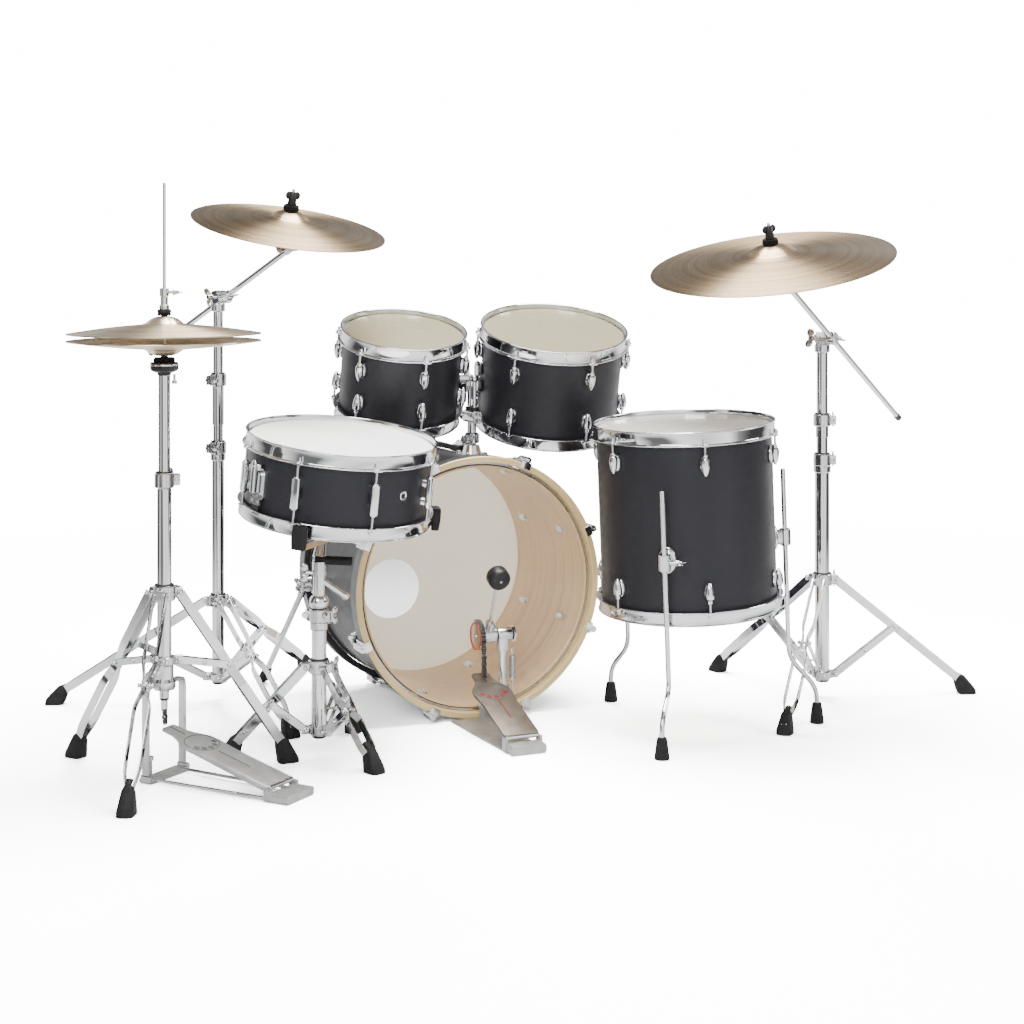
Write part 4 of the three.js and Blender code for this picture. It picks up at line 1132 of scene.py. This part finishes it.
def make_snare_stand():
    s = SNARE_STAND
    stand_base("snare_stand", s, "snare_stand_base")
    axis, r = s["axis"], s["tube"][1]
    riser = Shape()
    tube(riser, axis, r, r - 1.6, s["lower"] - 118, 350)
    fork = vec(axis[0], axis[1], 360)
    riser.add(sweep([fork - UP * 14, fork + UP * 12], slab(24, 28, 0.4, 5), side=ALONG_X), CASTING)
    post = vec(axis[0], axis[1], 0)
    riser.add(sweep([post + UP * 336 + ASIDE * 6, post + UP * 306 + ASIDE * 50], slab(11, 15, 0.45, 4),
                    side=UP), CHROME)
    riser.add(ball(8, post + UP * 305 + ASIDE * 51), CHROME)
    riser.add(rod(post + UP * 350 - ASIDE * 22, post + UP * 350 + ASIDE * 14, 4, 16), CHROME)
    wing(riser, post + UP * 350 - ASIDE * 19, -ASIDE, 1.1)
    riser.build("snare_stand_riser", "snare_riser", ["snare_stand_upper_tube"], "chrome")

    drum = DRUMS["snare"]
    place = drum_place(drum)
    height = drum["height"]
    reach = drum["inches"] * INCH / 2 + 15
    low = -height - 34
    basket = Shape()
    hub = [(0, low - 10), (24, low - 10), (30, low - 6), (30, low + 4), (26, low + 8), (0, low + 8)]
    basket.turned(hub, 36, CASTING, place)
    foot = vec(axis[0], axis[1], 380)
    neck = place @ vec(-20, 0, low)
    basket.add(sweep([foot, foot.lerp(neck, 0.5), neck], circle(13, 28), scale=[1, 0.8, 0.95]), CASTING)
    basket.add(rod(foot - ASIDE * 8 - UP * 5, foot + ASIDE * 64 - UP * 8, 8.5, 24), RUBBER)
    basket.add(rod(foot - ASIDE * 12 - UP * 5, foot + ASIDE * 2 - UP * 5, 5, 16), CHROME)
    for angle in BASKET_ANGLES:
        out = polar(angle, 1)
        side = UP.cross(out)
        path = [vec(0, 0, low) + out * 16, vec(0, 0, low + 6) + out * (reach * 0.5),
                vec(0, 0, -height - 17) + out * (reach - 6), vec(0, 0, -height - 8) + out * (reach + 8)]
        for k in (-1, 1):
            strap = [place @ (p + side * k * (6.5 if i else 9)) for i, p in enumerate(path)]
            basket.add(sweep(fillet(strap, 16), rect(2.6, 11), side=place.to_3x3() @ side), CHROME)
        block = [place @ (vec(0, 0, z - height) + out * (reach + 9)) for z in (-18, 4, 26)]
        grip = sweep(block, slab(18, 30, 0.3, 4), side=place.to_3x3() @ out, scale=[0.86, 1, 0.9])
        basket.add(grip, RUBBER)
        ledge = [place @ (vec(0, 0, -height - 7) + out * (reach - 4)),
                 place @ (vec(0, 0, -height - 7) + out * (reach + 6))]
        basket.add(sweep(ledge, slab(17, 9, 0.4), side=place.to_3x3() @ side), RUBBER)
        lever = [place @ (vec(0, 0, low + 3) + out * 60 - side * 14),
                 place @ (vec(0, 0, low + 3) + out * 60 + side * 14)]
        basket.add(rod(lever[0], lever[1], 3, 14), CHROME)
    basket.build("snare_basket_arms", "snare_drum", ["snare_basket"], "chrome")

    lever = Shape()
    r = drum["inches"] * INCH / 2
    at = spun(STRAINER_ANGLE)
    path = [vec(r + 18, 0, -101), vec(r + 18, 0, -84), vec(r + 18.5, 0, -58), vec(r + 17, 0, -45)]
    lever.add(sweep(fillet(path, 8), slab(12, 6, 0.4), side=ALONG_Y), CHROME, at)
    lever.add(ball(1, (r + 18.4, 0, -47), (3.4, 7.4, 8), 20), CHROME, at)
    lever.build("snare_throw_off_handle", "throw_off_lever", ["snare_throw_off_lever"], "chrome", place)

    wires = Shape()
    turn = spun(STRAINER_ANGLE)
    z = -(height - CROWN) - 1.4
    for i in range(20):
        y = -20 + 40 * i / 19
        wires.add(bar((-132, y, z), (132, y, z), circle(0.8, 6)), STEEL, turn)
    for x in (-1, 1):
        wires.add(box((18, 42, 1.2), (x * 140, 0, z)), STEEL, turn)
    wires.build("snare_wire_set", "snare_drum", ["snare_wires"], "steel_wire", place, 0)


# ---- hi-hat ------------------------------------------------------------------------------------

HAT = vec(-701, -161, 0)
AT_HAT = Matrix.Translation(HAT)
PEDAL_ANGLE = -52.6
PEDAL_LENGTH = 262
HAT_BOTTOM, HAT_TOP = 804.5, 819.5


def hat_place():
    return AT_HAT @ spun(PEDAL_ANGLE)


def make_hat_base():
    place = hat_place()
    legs = Shape()
    tripod(legs, HAT, 340, 215, 252, (121.4, 241.4, 1.4), 14.2)
    clamp(legs, HAT, 13.9, 340, 28, 20, 1.1)
    collar_ring(legs, HAT, 13.9, 21, 215, 16)
    legs.build("hihat_tripod_legs", STANDING, ["hihat_tripod"], "chrome")

    base = Shape()
    tube(base, HAT, 13.2, 11.4, 196, 532)
    clamp(base, HAT, 11.6, 548, 28, 10, 1.15)
    casting = [(5.2, 146), (9, 146), (9, 160), (19, 162), (21, 166), (21, 176), (17, 182), (17, 206),
               (13, 208), (5.2, 208)]
    base.turned(casting, 36, CASTING, AT_HAT)
    base.turned(ring(4.2, 8.4, 142, 160), 24, NYLON, AT_HAT)
    for s in (-1, 1):
        path = [vec(0, s * 14, 174), vec(0, s * 48, 174), vec(0, s * 52, 164), vec(0, s * 52, 2)]
        base.add(sweep(fillet(path, 10), slab(16, 6, 0.35), side=ALONG_X), CASTING, place)
        base.add(bar((-9, s * 52, 8), (14, s * 52, 8), slab(9, 15, 0.3), side=ALONG_Y), CASTING, place)
        rail = [vec(4, s * 42, 6), vec(PEDAL_LENGTH + 6, s * 36, 6)]
        base.add(rod(rail[0], rail[1], 3, 16), CHROME, place)
    base.add(bar((0, -52, 4), (0, 52, 4), slab(32, 7, 0.3), side=ALONG_X), CAST, place)
    base.add(rod(vec(-4, -34, 6), vec(-4, -34, 42), 3.2, 16), STEEL, place)
    base.turned([(0, 38), (6, 38), (6, 45), (0, 46)], 20, CASTING, place @ moved(-4, -34, 0))
    heel = [vec(PEDAL_LENGTH + 4, 0, 8), vec(PEDAL_LENGTH + 46, 0, 8)]
    base.add(sweep(heel, slab(82, 16, 0.25, 4), side=ALONG_Y, scale=[1, 0.98]), CAST, place)
    for s in (-1, 1):
        base.add(bar((PEDAL_LENGTH - 6, s * 38, 12), (PEDAL_LENGTH + 12, s * 38, 12), slab(6, 22, 0.35),
                     side=ALONG_Y), CAST, place)
    base.build("hihat_base_frame", STANDING, ["hihat_chassis"], "chrome")


def footboard(shape, place, heel, tip, wide, narrow, metal, inlay):
    """A tapered pedal board with a ring, dots and a centre line set into its face."""
    run = (tip - heel).normalized()
    side = run.cross(UP).normalized()
    face = side.cross(run).normalized()
    if face.z < 0:
        face = -face
    length = (tip - heel).length
    outline = [(0.0, wide * 0.46), (0.03, wide * 0.5), (0.5, wide * 0.5), (0.66, wide * 0.56),
               (0.74, wide * 0.54), (0.84, narrow * 0.66), (0.9, narrow * 0.5), (0.985, narrow * 0.5),
               (1.0, narrow * 0.42)]
    co, faces = [], []
    for t, half in outline:
        for k, z in ((-1, -3), (1, -3), (1, 2.2), (0.94, 3), (-0.94, 3), (-1, 2.2)):
            co.append(heel + run * t * length + side * k * half + face * z)
    rows = len(outline)
    for i in range(rows - 1):
        for j in range(6):
            m = (j + 1) % 6
            faces.append((i * 6 + j, i * 6 + m, (i + 1) * 6 + m, (i + 1) * 6 + j))
    faces.append(tuple(range(6)))
    faces.append(tuple(range((rows - 1) * 6, rows * 6)))
    shape.add((co, faces), metal, place)
    at = look(heel + run * length * 0.69 + face * 3, face, run)
    oval = [vec(30 * cos(2 * pi * i / 40), 36 * sin(2 * pi * i / 40) * wide / 76, 0) for i in range(40)]
    shape.add(sweep(oval, circle(0.9, 8), loop=True), DOT, place @ at)
    for i in range(5):
        a = radians(112 + 34 * i)
        spot = at @ moved(22 * cos(a), 27 * sin(a) * wide / 76, 0)
        shape.turned([(0, -0.4), (5.6, -0.4), (5.6, 0.45), (0, 0.6)], 20, inlay, place @ spot)
    for low, high in ((0.26, 0.54), (0.84, 0.98)):
        a = heel + run * length * low + face * 3.2
        b = heel + run * length * high + face * 3.2
        shape.add(sweep([a, b], rect(2.6, 0.9), side=side), inlay, place)
    for k in (-1, 1):
        rib = [heel + run * length * 0.04 + side * k * wide * 0.44 - face * 5,
               heel + run * length * 0.8 + side * k * wide * 0.36 - face * 5]
        shape.add(sweep(rib, rect(3, 9), side=side), metal, place)


def chain(shape, place, top, bottom, links):
    """Two rows of link plates with pins between them."""
    run = bottom - top
    pitch = run.length / links
    down = run.normalized()
    for i in range(links + 1):
        pin = top + down * pitch * i
        shape.add(rod(pin - vec(0, 5.6, 0), pin + vec(0, 5.6, 0), 1.7, 10), STEEL, place)
        shape.add(rod(pin - vec(0, 2.6, 0), pin + vec(0, 2.6, 0), 3.2, 14), CHAIN, place)
    for i in range(links):
        a, b = top + down * pitch * i, top + down * pitch * (i + 1)
        offset = 3.2 if i % 2 else 4.6
        for s in (-1, 1):
            middle = (a + b) / 2 + vec(0, s * offset, 0)
            shape.add(blob(3.6, 0.75, pitch * 0.78, 16), CHAIN, place @ look(middle, down, vec(1, 0, 0)))


def chain_link(shape, place, a, b, across):
    """One pair of link plates with the roller at the link's start."""
    run = (b - a).normalized()
    shape.add(rod(a - across * 5.6, a + across * 5.6, 1.7, 10), STEEL, place)
    shape.add(rod(a - across * 2.6, a + across * 2.6, 3.2, 14), CHAIN, place)
    for s in (-1, 1):
        plate = ball(1, (0, 0, 0), (3.6, 0.75, (b - a).length * 0.78), 16)
        shape.add(plate, CHAIN, place @ look((a + b) / 2 + across * s * 4.2, run, run.cross(across)))


def make_hats():
    upper = Shape()
    tube(upper, HAT, 10.8, 9.2, 402, 742)
    cup = [(6.6, 742), (12, 742), (13, 746), (24, 750), (26, 754), (26, 764), (24, 766), (6.6, 766)]
    upper.turned(cup, 40, NYLON, AT_HAT)
    upper.turned([(6.6, 759.5), (26.5, 759.5), (26.8, 761), (26.5, 762.5), (6.6, 762.5)], 40, CHROME,
                 AT_HAT)
    upper.turned([(6.6, 766), (19, 766), (20, 770), (18, 775), (6.6, 775)], 36, FELT, AT_HAT)
    upper.turned(ring(4.4, 6.4, 740, 783), 24, NYLON, AT_HAT)
    screw = HAT + vec(17, -8, 744)
    upper.add(rod(screw, screw - UP * 16, 2.6, 14), STEEL)
    upper.turned(ring(0, 5, -6, 0), 18, CASTING, Matrix.Translation(screw - UP * 12))
    upper.build("hihat_upper_post", "hihat_upper", ["hihat_upper_tube"], "chrome")

    for name, z, bell, body, over in (("bottom", HAT_BOTTOM, 27, "hihat_bottom", True),
                                      ("top", HAT_TOP, 31, "hihat_top", False)):
        disc = Shape()
        # Painted light: the hi-hat discs use the lighter copy of the cymbal bronze, brightened for their
        # edge-on view.
        disc.turned(cymbal_profile(178, bell, 7.6), 128, HAT_BRONZE_PAINTED_LIGHTER)
        place = Matrix.Translation(HAT + UP * z)
        if over:
            place = place @ Matrix.Rotation(pi, 4, "X")
        disc.build(f"hihat_{name}_disc", body, [f"hihat_{name}_cymbal"], "bronze", place, 0)

    clutch = Shape()
    at = Matrix.Translation(HAT + UP * (HAT_TOP + 31))
    clutch.turned([(3.6, -14), (9.4, -14), (10, -12), (9.4, -3), (3.6, -3)], 24, CHROME, at)
    clutch.turned(ring(3.6, 6, -3, 1), 24, NYLON, at)
    clutch.turned([(3.7, 1.2), (11.6, 1.2), (12.6, 4), (11.6, 7), (3.7, 7)], 28, FELT, at)
    clutch.turned([(3.7, 7), (12.4, 7), (13, 9), (12.4, 13), (3.7, 13)], 28, NYLON, at)
    clutch.turned([(3.7, 13), (9, 13), (9.4, 15), (9.4, 20), (7, 22), (7, 36), (8.6, 38), (8.6, 51),
                   (7.6, 52.4), (3.7, 52.4)], 28, CHROME, at)
    clutch.add(rod(HAT + vec(4, 0, HAT_TOP + 76), HAT + vec(17, -2, HAT_TOP + 76), 3.4, 16), CHROME)
    wing(clutch, HAT + vec(15, -2, HAT_TOP + 76), vec(1, -0.12, 0), 1.1, 90)
    clutch.build("hihat_clutch_body", "hihat_clutch", ["hihat_clutch"], "chrome", bevel=0.3)

    pull = Shape()
    pull.add(rod(HAT + UP * 136, HAT + UP * 1096, 3.1, 20), CHROME)
    pull.add(ball(3.1, HAT + UP * 1096, (1, 1, 0.7), 16), CHROME)
    place = hat_place()
    pull.add(bar((0, 0, 142), (0, 0, 126), slab(9, 13, 0.35), side=ALONG_X), CHROME, place)
    chain(pull, place, vec(0, 0, 130), vec(2, 0, 99), 4)
    pull.build("hihat_pull_rod_chain", "hihat_rod", ["hihat_pull_rod"], "chrome", bevel=0.2)

    board = Shape()
    footboard(board, place, vec(PEDAL_LENGTH, 0, 24), vec(8, 0, 92), 76, 36, CAST, DOT)
    board.add(rod(vec(PEDAL_LENGTH + 1, -34, 24), vec(PEDAL_LENGTH + 1, 34, 24), 5, 20), CHROME, place)
    board.build("hihat_pedal_board", "hihat_footboard", ["hihat_footboard"], "cast_alloy", bevel=0.6)


# ---- bass drum pedal ---------------------------------------------------------------------------

KICK_X, AXLE_Y, AXLE_Z, POST_X, HEEL_Y, SPRING_X = -22, -37, 180, 32, -262, 55


def make_kick():
    frame_shape = Shape()
    x = KICK_X
    co, faces = [], []
    for y, low, high in ((-2, x - 46, x + 62), (-110, x - 44, x + 50), (HEEL_Y, x - 37, x + 38)):
        for px, pz in ((low, 0), (high, 0), (high, 4), (low, 4)):
            co.append(vec(px, y, pz))
    for i in range(2):
        for j in range(4):
            m = (j + 1) % 4
            faces.append((i * 4 + j, i * 4 + m, i * 4 + 4 + m, i * 4 + 4 + j))
    faces += [(0, 1, 2, 3), (8, 9, 10, 11)]
    frame_shape.add((co, faces), CAST)
    heel = [vec(x, HEEL_Y - 2, 10), vec(x, HEEL_Y - 34, 10)]
    frame_shape.add(sweep(heel, slab(76, 19, 0.28, 4), side=ALONG_X, scale=[1, 0.97]), CAST)
    for s in (-1, 1):
        frame_shape.add(bar((x + s * 36, HEEL_Y + 10, 15), (x + s * 36, HEEL_Y - 10, 15), slab(6, 28, 0.35),
                            side=ALONG_X), CAST)
    frame_shape.add(rod(vec(POST_X, AXLE_Y, 3), vec(POST_X, AXLE_Y, AXLE_Z - 22), 8.5, 32), CHROME)
    frame_shape.add(bar((POST_X, AXLE_Y, AXLE_Z - 34), (POST_X, AXLE_Y, AXLE_Z - 6), slab(26, 22, 0.45, 5),
                        side=ALONG_X), CASTING)
    frame_shape.turned([(5.6, -12), (13, -12), (14, -10), (14, 18), (13, 20), (5.6, 20)], 32, CASTING,
                       look(vec(POST_X, AXLE_Y, AXLE_Z), vec(1, 0, 0)))
    frame_shape.add(bar((POST_X, AXLE_Y, 4), (POST_X, AXLE_Y, 20), slab(34, 30, 0.4, 4), side=ALONG_X,
                        scale=[1.1, 0.75]), CAST)
    frame_shape.add(bar((POST_X - 14, -8, 15), (POST_X - 14, -2, 15), slab(44, 26, 0.25), side=ALONG_X),
                    CAST)
    frame_shape.add(bar((POST_X - 14, -5, 25), (POST_X - 14, 13, 25), slab(44, 7, 0.4), side=ALONG_X), CAST)
    frame_shape.build("kick_pedal_frame", STANDING, ["kick_frame"], "cast_alloy", bevel=0.6)

    spring = Shape()
    spring.add(helix(vec(SPRING_X, AXLE_Y, 86), vec(SPRING_X, AXLE_Y, 134), 6.4, 17, 1.1), STEEL)
    hook = [vec(SPRING_X, AXLE_Y, 133), vec(SPRING_X, AXLE_Y, 142), vec(SPRING_X, AXLE_Y + 5, 148),
            vec(SPRING_X, AXLE_Y, 153)]
    spring.add(sweep(fillet(hook, 4), circle(1.3, 10)), STEEL)
    spring.add(rod(vec(SPRING_X, AXLE_Y, 87), vec(SPRING_X, AXLE_Y, 30), 1.6, 12), STEEL)
    spring.add(bar((POST_X + 4, AXLE_Y, 30), (62, AXLE_Y, 30), slab(10, 6, 0.4), side=ALONG_Y), CAST)
    spring.turned(ring(1.8, 6, 32, 36), 6, CHROME, moved(SPRING_X, AXLE_Y, 0))
    spring.build("kick_return_spring", STANDING, (), "steel_wire", bevel=0)
    make_beater()
    make_kick_board()


def make_beater():
    beater = Shape()
    axle = look(vec(0, AXLE_Y, AXLE_Z), vec(1, 0, 0))
    beater.turned(ring(0, 5, KICK_X - 8, POST_X + 26), 24, CHROME, axle)
    cam = [(0, KICK_X - 6), (25, KICK_X - 6), (28, KICK_X - 5), (28, KICK_X + 5), (25, KICK_X + 6),
           (0, KICK_X + 6)]
    beater.turned(cam, 48, CASTING, axle)
    beater.turned(ring(25.4, 28, KICK_X - 6.8, KICK_X - 5.4), 48, ORANGE, axle)
    hub = vec(KICK_X, AXLE_Y, AXLE_Z)
    around = [hub + vec(0, 31 * cos(radians(a)), 31 * sin(radians(a))) for a in range(70, 181, 12)]
    for before, after in zip(around, around[1:] + [around[-1] - UP * 8]):
        chain_link(beater, Matrix.Identity(4), before, after, vec(1, 0, 0))
    swing = moved(KICK_X, AXLE_Y - 31, 0) @ Matrix.Rotation(pi / 2, 4, "Z")
    chain(beater, swing, vec(0, 0, 178), vec(0, 0, 149), 4)
    beater.turned([(0, KICK_X + 5), (15, KICK_X + 5), (16, KICK_X + 8), (16, POST_X - 18),
                   (12, POST_X - 13.5), (0, POST_X - 13.5)], 32, CASTING, axle)
    hold = vec(0, AXLE_Y, AXLE_Z)
    centre = vec(0, -92, 307)
    run = (centre - hold).normalized()
    face = vec(1, 0, 0).cross(run).normalized()
    beater.add(sweep([hold + run * 2, hold + run * 32], slab(15, 18, 0.4, 4), side=ALONG_X), CASTING)
    beater.add(rod(hold + run * 24, centre, 3.6, 20), CHROME)
    drum_key = look(hold + run * 22 + vec(7, 0, 0), vec(1, 0, 0))
    beater.turned(ring(0, 3.4, 0, 8), 4, CHROME, drum_key)
    profile = [(0, -16), (16, -16), (20, -14.5), (22.4, -11), (23, -6), (23, 6), (22.4, 11), (20, 14.5),
               (16, 16), (0, 16)]
    beater.turned(profile, 40, NYLON, look(centre, face))
    beater.turned(ring(0, 2.4, -17, 17), 16, STEEL, look(centre, face))
    crank = look(vec(POST_X + 21, AXLE_Y, AXLE_Z), vec(1, 0, 0))
    beater.add(ratchet(17, 0.4, 5, 6), CHROME, crank)
    beater.turned([(0, 4), (6, 4), (6, 9), (3, 12), (0, 12)], 20, CHROME, crank)
    beater.build("kick_beater_cam", "kick_beater", ["kick_beater"], "chrome", bevel=0.4)


def make_kick_board():
    board = Shape()
    heel, tip = vec(KICK_X, HEEL_Y, 30), vec(KICK_X, -46, 104)
    footboard(board, Matrix.Identity(4), heel, tip, 74, 38, KICK_CAST, RED)
    board.add(rod(vec(KICK_X - 34, HEEL_Y, 28), vec(KICK_X + 34, HEEL_Y, 28), 5, 20), CHROME)
    swing = moved(KICK_X, AXLE_Y - 33, 0) @ Matrix.Rotation(pi / 2, 4, "Z")
    chain(board, swing, vec(0, 0, 146), vec(0, 0, 100), 7)
    board.build("kick_pedal_board", "kick_footboard", ["kick_footboard"], "cast_alloy", bevel=0.6)


# ---- studio ------------------------------------------------------------------------------------

CAMERA_HEIGHT = 0.97
CAMERA_PLACE = (-1.492, -3.575)
KIT_YAW = 23.61
SENSOR_MM = 36
LENS_MM = 65.538
LENS_SHIFT = -0.2542

# Brightness of the background, bare and through a film, of the striped surround and of the diffuse fill.
WHITE = 16.0
THROUGH_FILM = 2.4
SURROUND_GAIN = 1.9
FILL = 0.34
# The floor's paleness for light bounced off it, and for the camera.
FLOOR_LIT = 0.62
FLOOR_SEEN = 4.08


def mixed(tree, factor, a, b):
    mix = tree.nodes.new("ShaderNodeMix")
    mix.data_type = "RGBA"
    tree.links.new(factor, mix.inputs["Factor"])
    for socket, value in (("A", a), ("B", b)):
        if isinstance(value, bpy.types.NodeSocket):
            tree.links.new(value, mix.inputs[socket])
        else:
            mix.inputs[socket].default_value = (value, value, value, 1)
    return mix.outputs["Result"]


def math_of(tree, operation, *values):
    made = tree.nodes.new("ShaderNodeMath")
    made.operation = operation
    for socket, value in zip(made.inputs, values):
        if isinstance(value, bpy.types.NodeSocket):
            tree.links.new(value, socket)
        else:
            socket.default_value = value
    return made.outputs["Value"]


def bands_around(tree, place):
    split = tree.nodes.new("ShaderNodeSeparateXYZ")
    tree.links.new(place, split.inputs["Vector"])
    turn = math_of(tree, "ARCTAN2", split.outputs["Y"], split.outputs["X"])
    around = math_of(tree, "MULTIPLY_ADD", turn, 0.5 / pi, 0.5)
    return ramp_of(tree, around, SURROUND)


def make_floor():
    """A pale floor that fades into the white background; its far part mirrors as the striped surround."""
    reach = 14
    mesh = bpy.data.meshes.new("studio_floor")
    mesh.from_pydata([(-reach, -reach, 0), (reach, -reach, 0), (reach, reach, 0), (-reach, reach, 0)], [],
                     [(0, 1, 2, 3)])
    floor = bpy.data.objects.new("studio_floor", mesh)
    bpy.context.scene.collection.objects.link(floor)
    n = Nodes("studio_white")
    mesh.materials.append(n.material)
    tree = n.tree
    path = tree.nodes.new("ShaderNodeLightPath")
    where = tree.nodes.new("ShaderNodeTexCoord")
    distance = tree.nodes.new("ShaderNodeVectorMath")
    distance.operation = "LENGTH"
    tree.links.new(where.outputs["Object"], distance.inputs[0])
    matte = tree.nodes.new("ShaderNodeBsdfDiffuse")
    through = math_of(tree, "GREATER_THAN", path.outputs["Transparent Depth"], 0.5)
    camera_ray = math_of(tree, "MULTIPLY", path.outputs["Is Camera Ray"],
                         math_of(tree, "SUBTRACT", 1.0, through))
    tree.links.new(mixed(tree, camera_ray, FLOOR_LIT, FLOOR_SEEN), matte.inputs["Color"])
    glow = tree.nodes.new("ShaderNodeEmission")
    mirrored_bands = math_of(tree, "MULTIPLY", bands_around(tree, where.outputs["Object"]), SURROUND_GAIN)
    tree.links.new(mixed(tree, camera_ray, mirrored_bands, WHITE), glow.inputs["Strength"])
    fade = ramp_of(tree, math_of(tree, "DIVIDE", distance.outputs["Value"], 4.0),
                   [(0.32, 0.0), (0.75, 1.0)])
    blend = tree.nodes.new("ShaderNodeMixShader")
    mirrored = math_of(tree, "SUBTRACT", 1.0, path.outputs["Is Diffuse Ray"])
    tree.links.new(math_of(tree, "MULTIPLY", fade, mirrored), blend.inputs[0])
    tree.links.new(matte.outputs[0], blend.inputs[1])
    tree.links.new(glow.outputs[0], blend.inputs[2])
    tree.links.new(blend.outputs[0], n.output.inputs["Surface"])


def make_world():
    world = bpy.data.worlds.new("studio")
    bpy.context.scene.world = world
    world.use_nodes = True
    tree = world.node_tree
    where = tree.nodes.new("ShaderNodeTexCoord")
    split = tree.nodes.new("ShaderNodeSeparateXYZ")
    tree.links.new(where.outputs["Generated"], split.inputs["Vector"])
    height = math_of(tree, "MULTIPLY_ADD", split.outputs["Z"], 0.5, 0.5)
    tiers = ramp_of(tree, height, [(0.0, 0.5), (0.4, 0.6), (0.47, 0.95), (0.52, 1.05), (0.62, 1.1),
                                   (0.74, 1.0), (0.8, 0.35), (1.0, 0.6)])
    cards = bands_around(tree, where.outputs["Generated"])
    shown = math_of(tree, "MULTIPLY", math_of(tree, "MULTIPLY", tiers, cards), SURROUND_GAIN)
    path = tree.nodes.new("ShaderNodeLightPath")
    lit = mixed(tree, path.outputs["Is Diffuse Ray"], shown, FILL)
    through = math_of(tree, "GREATER_THAN", path.outputs["Transparent Depth"], 0.5)
    behind = mixed(tree, through, WHITE, THROUGH_FILM)
    seen = mixed(tree, path.outputs["Is Camera Ray"], lit, behind)
    tree.links.new(seen, tree.nodes["Background"].inputs["Color"])


# Brightness of the surround by direction, a full turn from -X through -Y, +X and +Y.
SURROUND = [(0.0, 1.0), (0.06, 0.12), (0.12, 0.12), (0.17, 1.15), (0.25, 0.75), (0.33, 1.15), (0.37, 0.2),
            (0.42, 0.04), (0.49, 0.04), (0.54, 1.0), (0.60, 1.15), (0.66, 0.25), (0.72, 0.12), (0.78, 1.1),
            (0.85, 0.9), (0.89, 0.3), (0.92, 0.05), (0.975, 0.05)]
# Name, place and size in metres, and power in watts.
LAMPS = [("top", (0.2, 0.1, 3.5), 1.9, 400), ("key", (-2.6, -3.0, 2.6), 2.0, 125),
         ("side", (3.4, -1.6, 2.2), 1.4, 90), ("back", (0.6, 3.2, 3.0), 1.4, 170)]
LAMPS_AIM = Vector((0, 0, 0.4))


def make_lamps():
    for name, place, size, power in LAMPS:
        lamp = bpy.data.lights.new(name, "AREA")
        lamp.size = size
        lamp.energy = power
        thing = bpy.data.objects.new(name, lamp)
        bpy.context.scene.collection.objects.link(thing)
        thing.location = place
        thing.visible_glossy = name != "back"
        thing.rotation_mode = "QUATERNION"
        thing.rotation_quaternion = (LAMPS_AIM - Vector(place)).to_track_quat("-Z", "Y")


def make_camera():
    lens = bpy.data.cameras.new("camera")
    lens.sensor_width = SENSOR_MM
    lens.lens = LENS_MM
    lens.shift_y = LENS_SHIFT
    camera = bpy.data.objects.new("camera", lens)
    bpy.context.scene.collection.objects.link(camera)
    camera.location = (CAMERA_PLACE[0] - CENTRE.x * MM, CAMERA_PLACE[1] - CENTRE.y * MM, CAMERA_HEIGHT)
    camera.rotation_euler = (pi / 2, 0, -radians(KIT_YAW))
    bpy.context.scene.camera = camera


# ---- build -------------------------------------------------------------------------------------

make_drum("snare", COATED, CLEAR_FILM)
make_drum("floor_tom", FLOOR_TOM_FILM, CLEAR_FILM)
make_drum("tom_small", TOM_FILM, CLEAR_FILM)
make_drum("tom_mid", TOM_FILM, CLEAR_FILM)
make_floor_legs()
make_tom_holder()
make_bass_drum()
make_spurs()
make_cymbal_stand("crash", CRASH)
make_cymbal_stand("ride", RIDE)
make_snare_stand()
make_hat_base()
make_hats()
make_kick()
make_floor()
make_world()
make_lamps()
make_camera()
